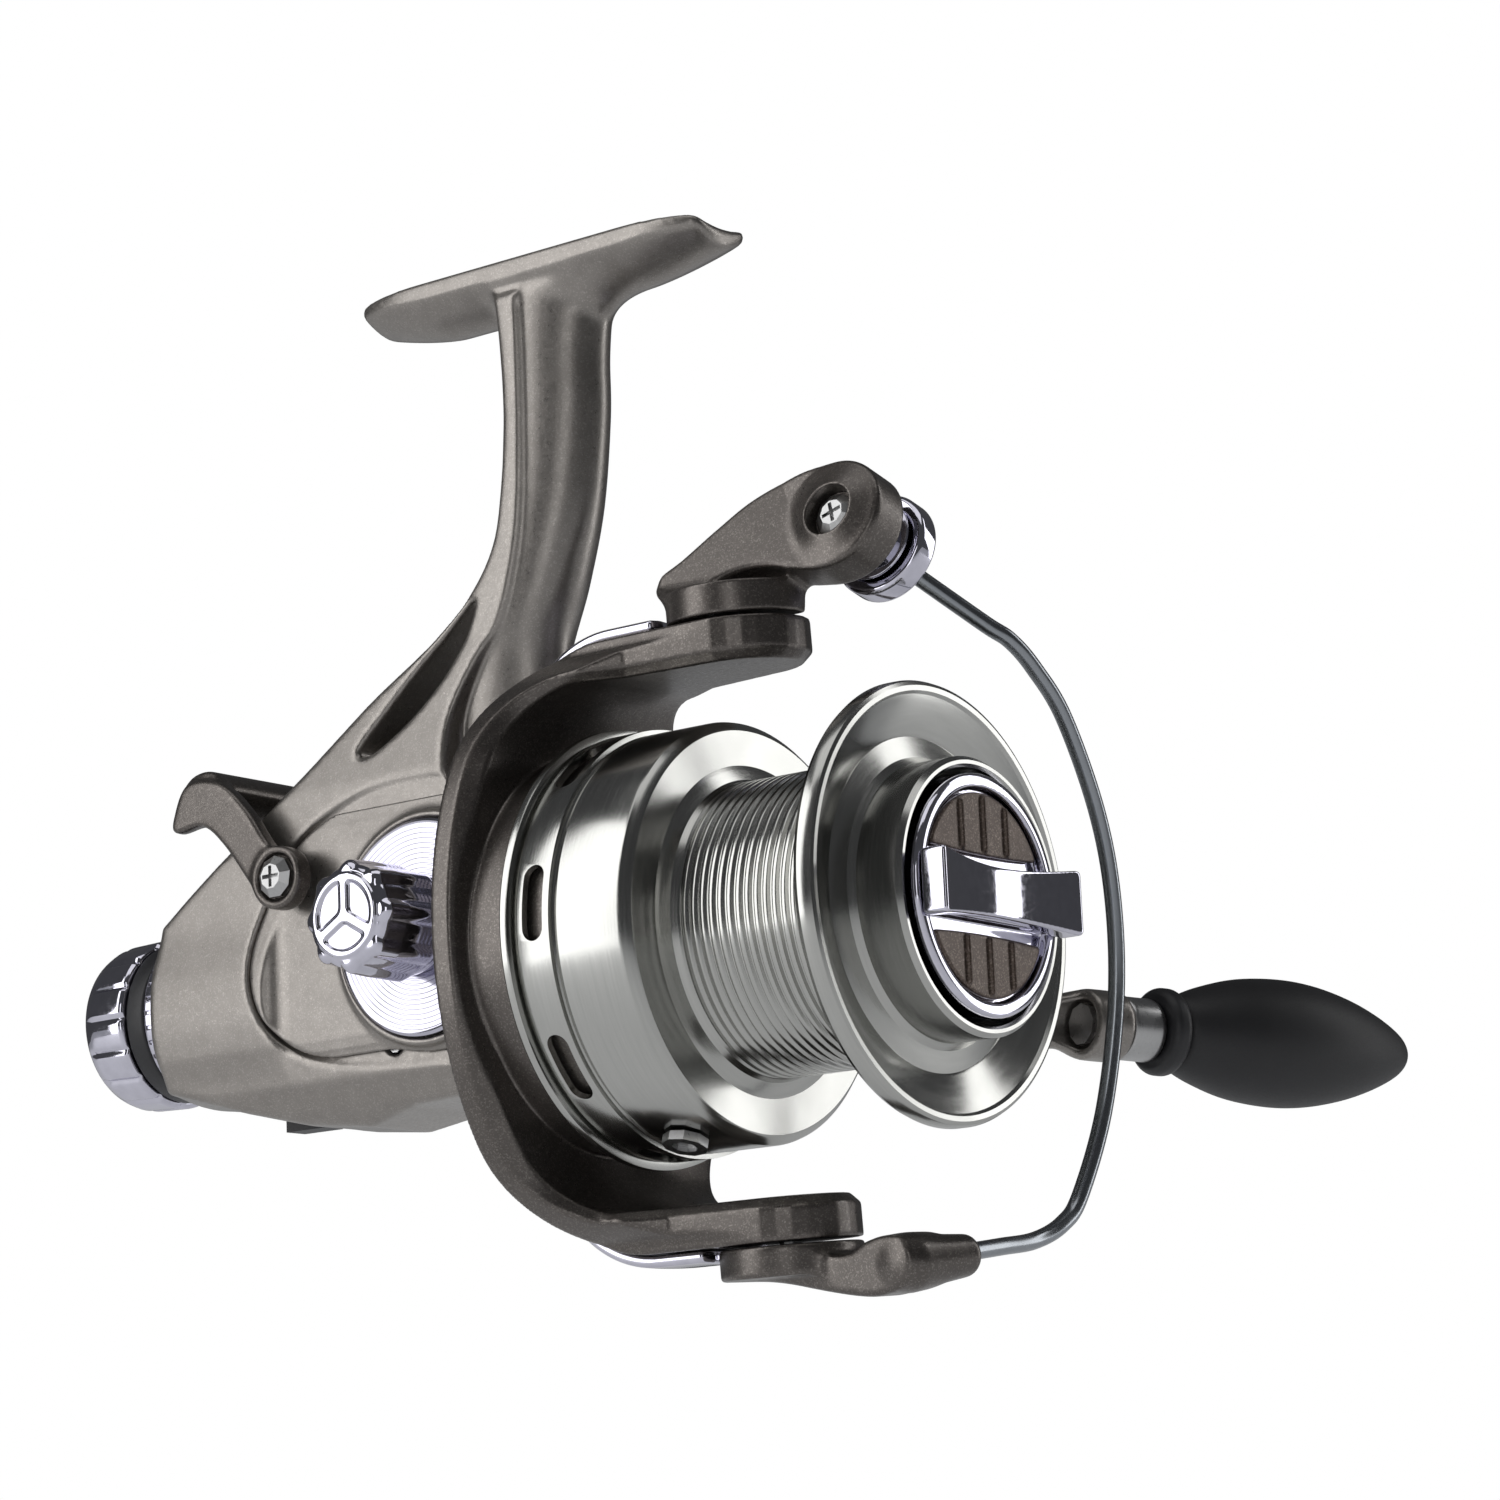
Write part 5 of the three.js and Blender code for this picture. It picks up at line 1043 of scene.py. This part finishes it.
def make_knob_grip(at):
    """The teardrop grip: radius against the share of its length."""
    shape = smooth([(4.6, 0.0), (5.9, 0.035), (7.4, 0.12), (9.0, 0.26), (9.6, 0.42), (9.2, 0.56),
                    (7.9, 0.7), (6.1, 0.82), (4.0, 0.92), (2.2, 0.972), (0.0, 1.0)], 8)
    stops = [(max(r, 0), GRIP_START + t * GRIP_LONG) for r, t in shape]
    deep = GRIP_START + 29
    bore = [(0, deep), (2.1, deep), (2.1, GRIP_START)]
    profile = bore + stops[:-1] + [(0, GRIP_START + GRIP_LONG)]
    mesh_piece("teardrop_knob", *turned(profile, 128, matrix=at),
               "handle_knob", ["knob_grip"], "rubber", sharp=50)


# ------------------------------------------------------------------ carried-over nodes
def dress_nodes():
    """Every CAD node gets its slot's material, with flat faces."""
    slots = {entry["node"]: entry["material_slot"] for entry in frame["record"]["subparts"]}
    for name, node in frame["nodes"].items():
        node.data.materials.clear()
        node.data.materials.append(SLOT_MATERIALS[slots[name]])
        node.data.polygons.foreach_set("use_smooth", [False] * len(node.data.polygons))


# ------------------------------------------------------------------ light, floor, camera
def make_floor():
    size = 3.0
    z = CAD_BOX[0][2] - 0.06
    corners = [(-size, -size, z), (size, -size, z), (size, size, z), (-size, size, z)]
    data = bpy.data.meshes.new("floor")
    data.from_pydata(corners, [], [(0, 1, 2, 3)])
    floor = bpy.data.objects.new("floor", data)
    bpy.context.scene.collection.objects.link(floor)
    t = Tree("pale_floor")
    data.materials.append(t.finish(Base_Color=(0.86, 0.86, 0.86, 1), Roughness=0.7,
                                   Emission_Color=(0.9, 0.92, 0.95, 1), Emission_Strength=0.3))


def make_world():
    """A dim room round the object, with a white background behind it."""
    world = bpy.data.worlds.new("studio")
    bpy.context.scene.world = world
    world.use_nodes = True
    nodes, links = world.node_tree.nodes, world.node_tree.links
    nodes.clear()
    out = nodes.new("ShaderNodeOutputWorld")
    mix = nodes.new("ShaderNodeMixShader")
    path = nodes.new("ShaderNodeLightPath")
    room = nodes.new("ShaderNodeBackground")
    white = nodes.new("ShaderNodeBackground")
    room.inputs["Color"].default_value = (0.5, 0.51, 0.53, 1)
    room.inputs["Strength"].default_value = 0.13
    white.inputs["Color"].default_value = (1, 1, 1, 1)
    links.new(path.outputs["Is Camera Ray"], mix.inputs[0])
    links.new(room.outputs[0], mix.inputs[1])
    links.new(white.outputs[0], mix.inputs[2])
    links.new(mix.outputs[0], out.inputs[0])


def soft_box(name, place, target, width, height, power):
    data = bpy.data.lights.new(name, "AREA")
    data.shape = "RECTANGLE"
    data.size, data.size_y = width, height
    data.energy = power
    light = bpy.data.objects.new(name, data)
    light.location = place
    light.rotation_euler = (Vector(target) - Vector(place)).to_track_quat("-Z", "Y").to_euler()
    bpy.context.scene.collection.objects.link(light)


# the photograph's point of view: turn about Z, rise, roll and distance
VIEW_TURN = math.radians(36.76)
VIEW_RISE = math.radians(-11.41)
VIEW_ROLL = math.radians(-2.46)
VIEW_FAR = 589.7
VIEW_TARGET = Vector((-31.1, 0, 25.44))
LENS = 102.4


def make_camera():
    level = math.cos(VIEW_RISE)
    back = Vector((math.sin(VIEW_TURN) * level, -math.cos(VIEW_TURN) * level, math.sin(VIEW_RISE)))
    right = Vector((math.cos(VIEW_TURN), math.sin(VIEW_TURN), 0))
    up = back.cross(right)
    r = math.cos(VIEW_ROLL) * right + math.sin(VIEW_ROLL) * up
    u = -math.sin(VIEW_ROLL) * right + math.cos(VIEW_ROLL) * up
    place = AXIS + (VIEW_TARGET + back * VIEW_FAR) * MM
    data = bpy.data.cameras.new("camera")
    data.lens = LENS
    data.sensor_width = 36
    data.clip_start = 0.01
    camera = bpy.data.objects.new("camera", data)
    turn = Matrix((r, u, back)).transposed().to_4x4()
    camera.matrix_world = Matrix.Translation(place) @ turn
    bpy.context.scene.collection.objects.link(camera)
    bpy.context.scene.camera = camera
    return r, u, back


def make_lights(right, up, back):
    """Soft boxes placed by how far right, up and back they stand, then their size and power."""
    centre = AXIS + VIEW_TARGET * MM
    boxes = {
        "left_box": ((-0.85, 0.24, 0.22), 0.5, 1.25, 4.6),
        "right_strip": ((0.85, 0.1, -0.25), 0.2, 1.3, 2.0),
        "top_box": ((-0.1, 0.9, 0.05), 1.0, 0.5, 1.5),
        "front_box": ((-0.25, 0.35, 1.1), 0.3, 0.7, 1.0),
        "low_box": ((0.1, -0.75, 0.3), 0.8, 0.3, 0.5),
    }
    for name, ((a, b, c), width, height, power) in boxes.items():
        soft_box(name, centre + right * a + up * b + back * c, centre, width, height, power)


# ------------------------------------------------------------------ build
make_lights(*make_camera())
make_floor()
make_world()
dress_nodes()
make_body()
make_trim_disc()
make_screw_cap()
make_feeder_knob()
make_index_ring()
make_rotor()
make_arm_covers()
make_bail_arm()
make_lower_arm()
make_wire()
make_roller()
make_spool()
make_drag_knob()
make_inserts()
make_grip()
make_lever()
make_handle()
make_handle_turnings()

bpy.context.scene.view_settings.view_transform = "Standard"
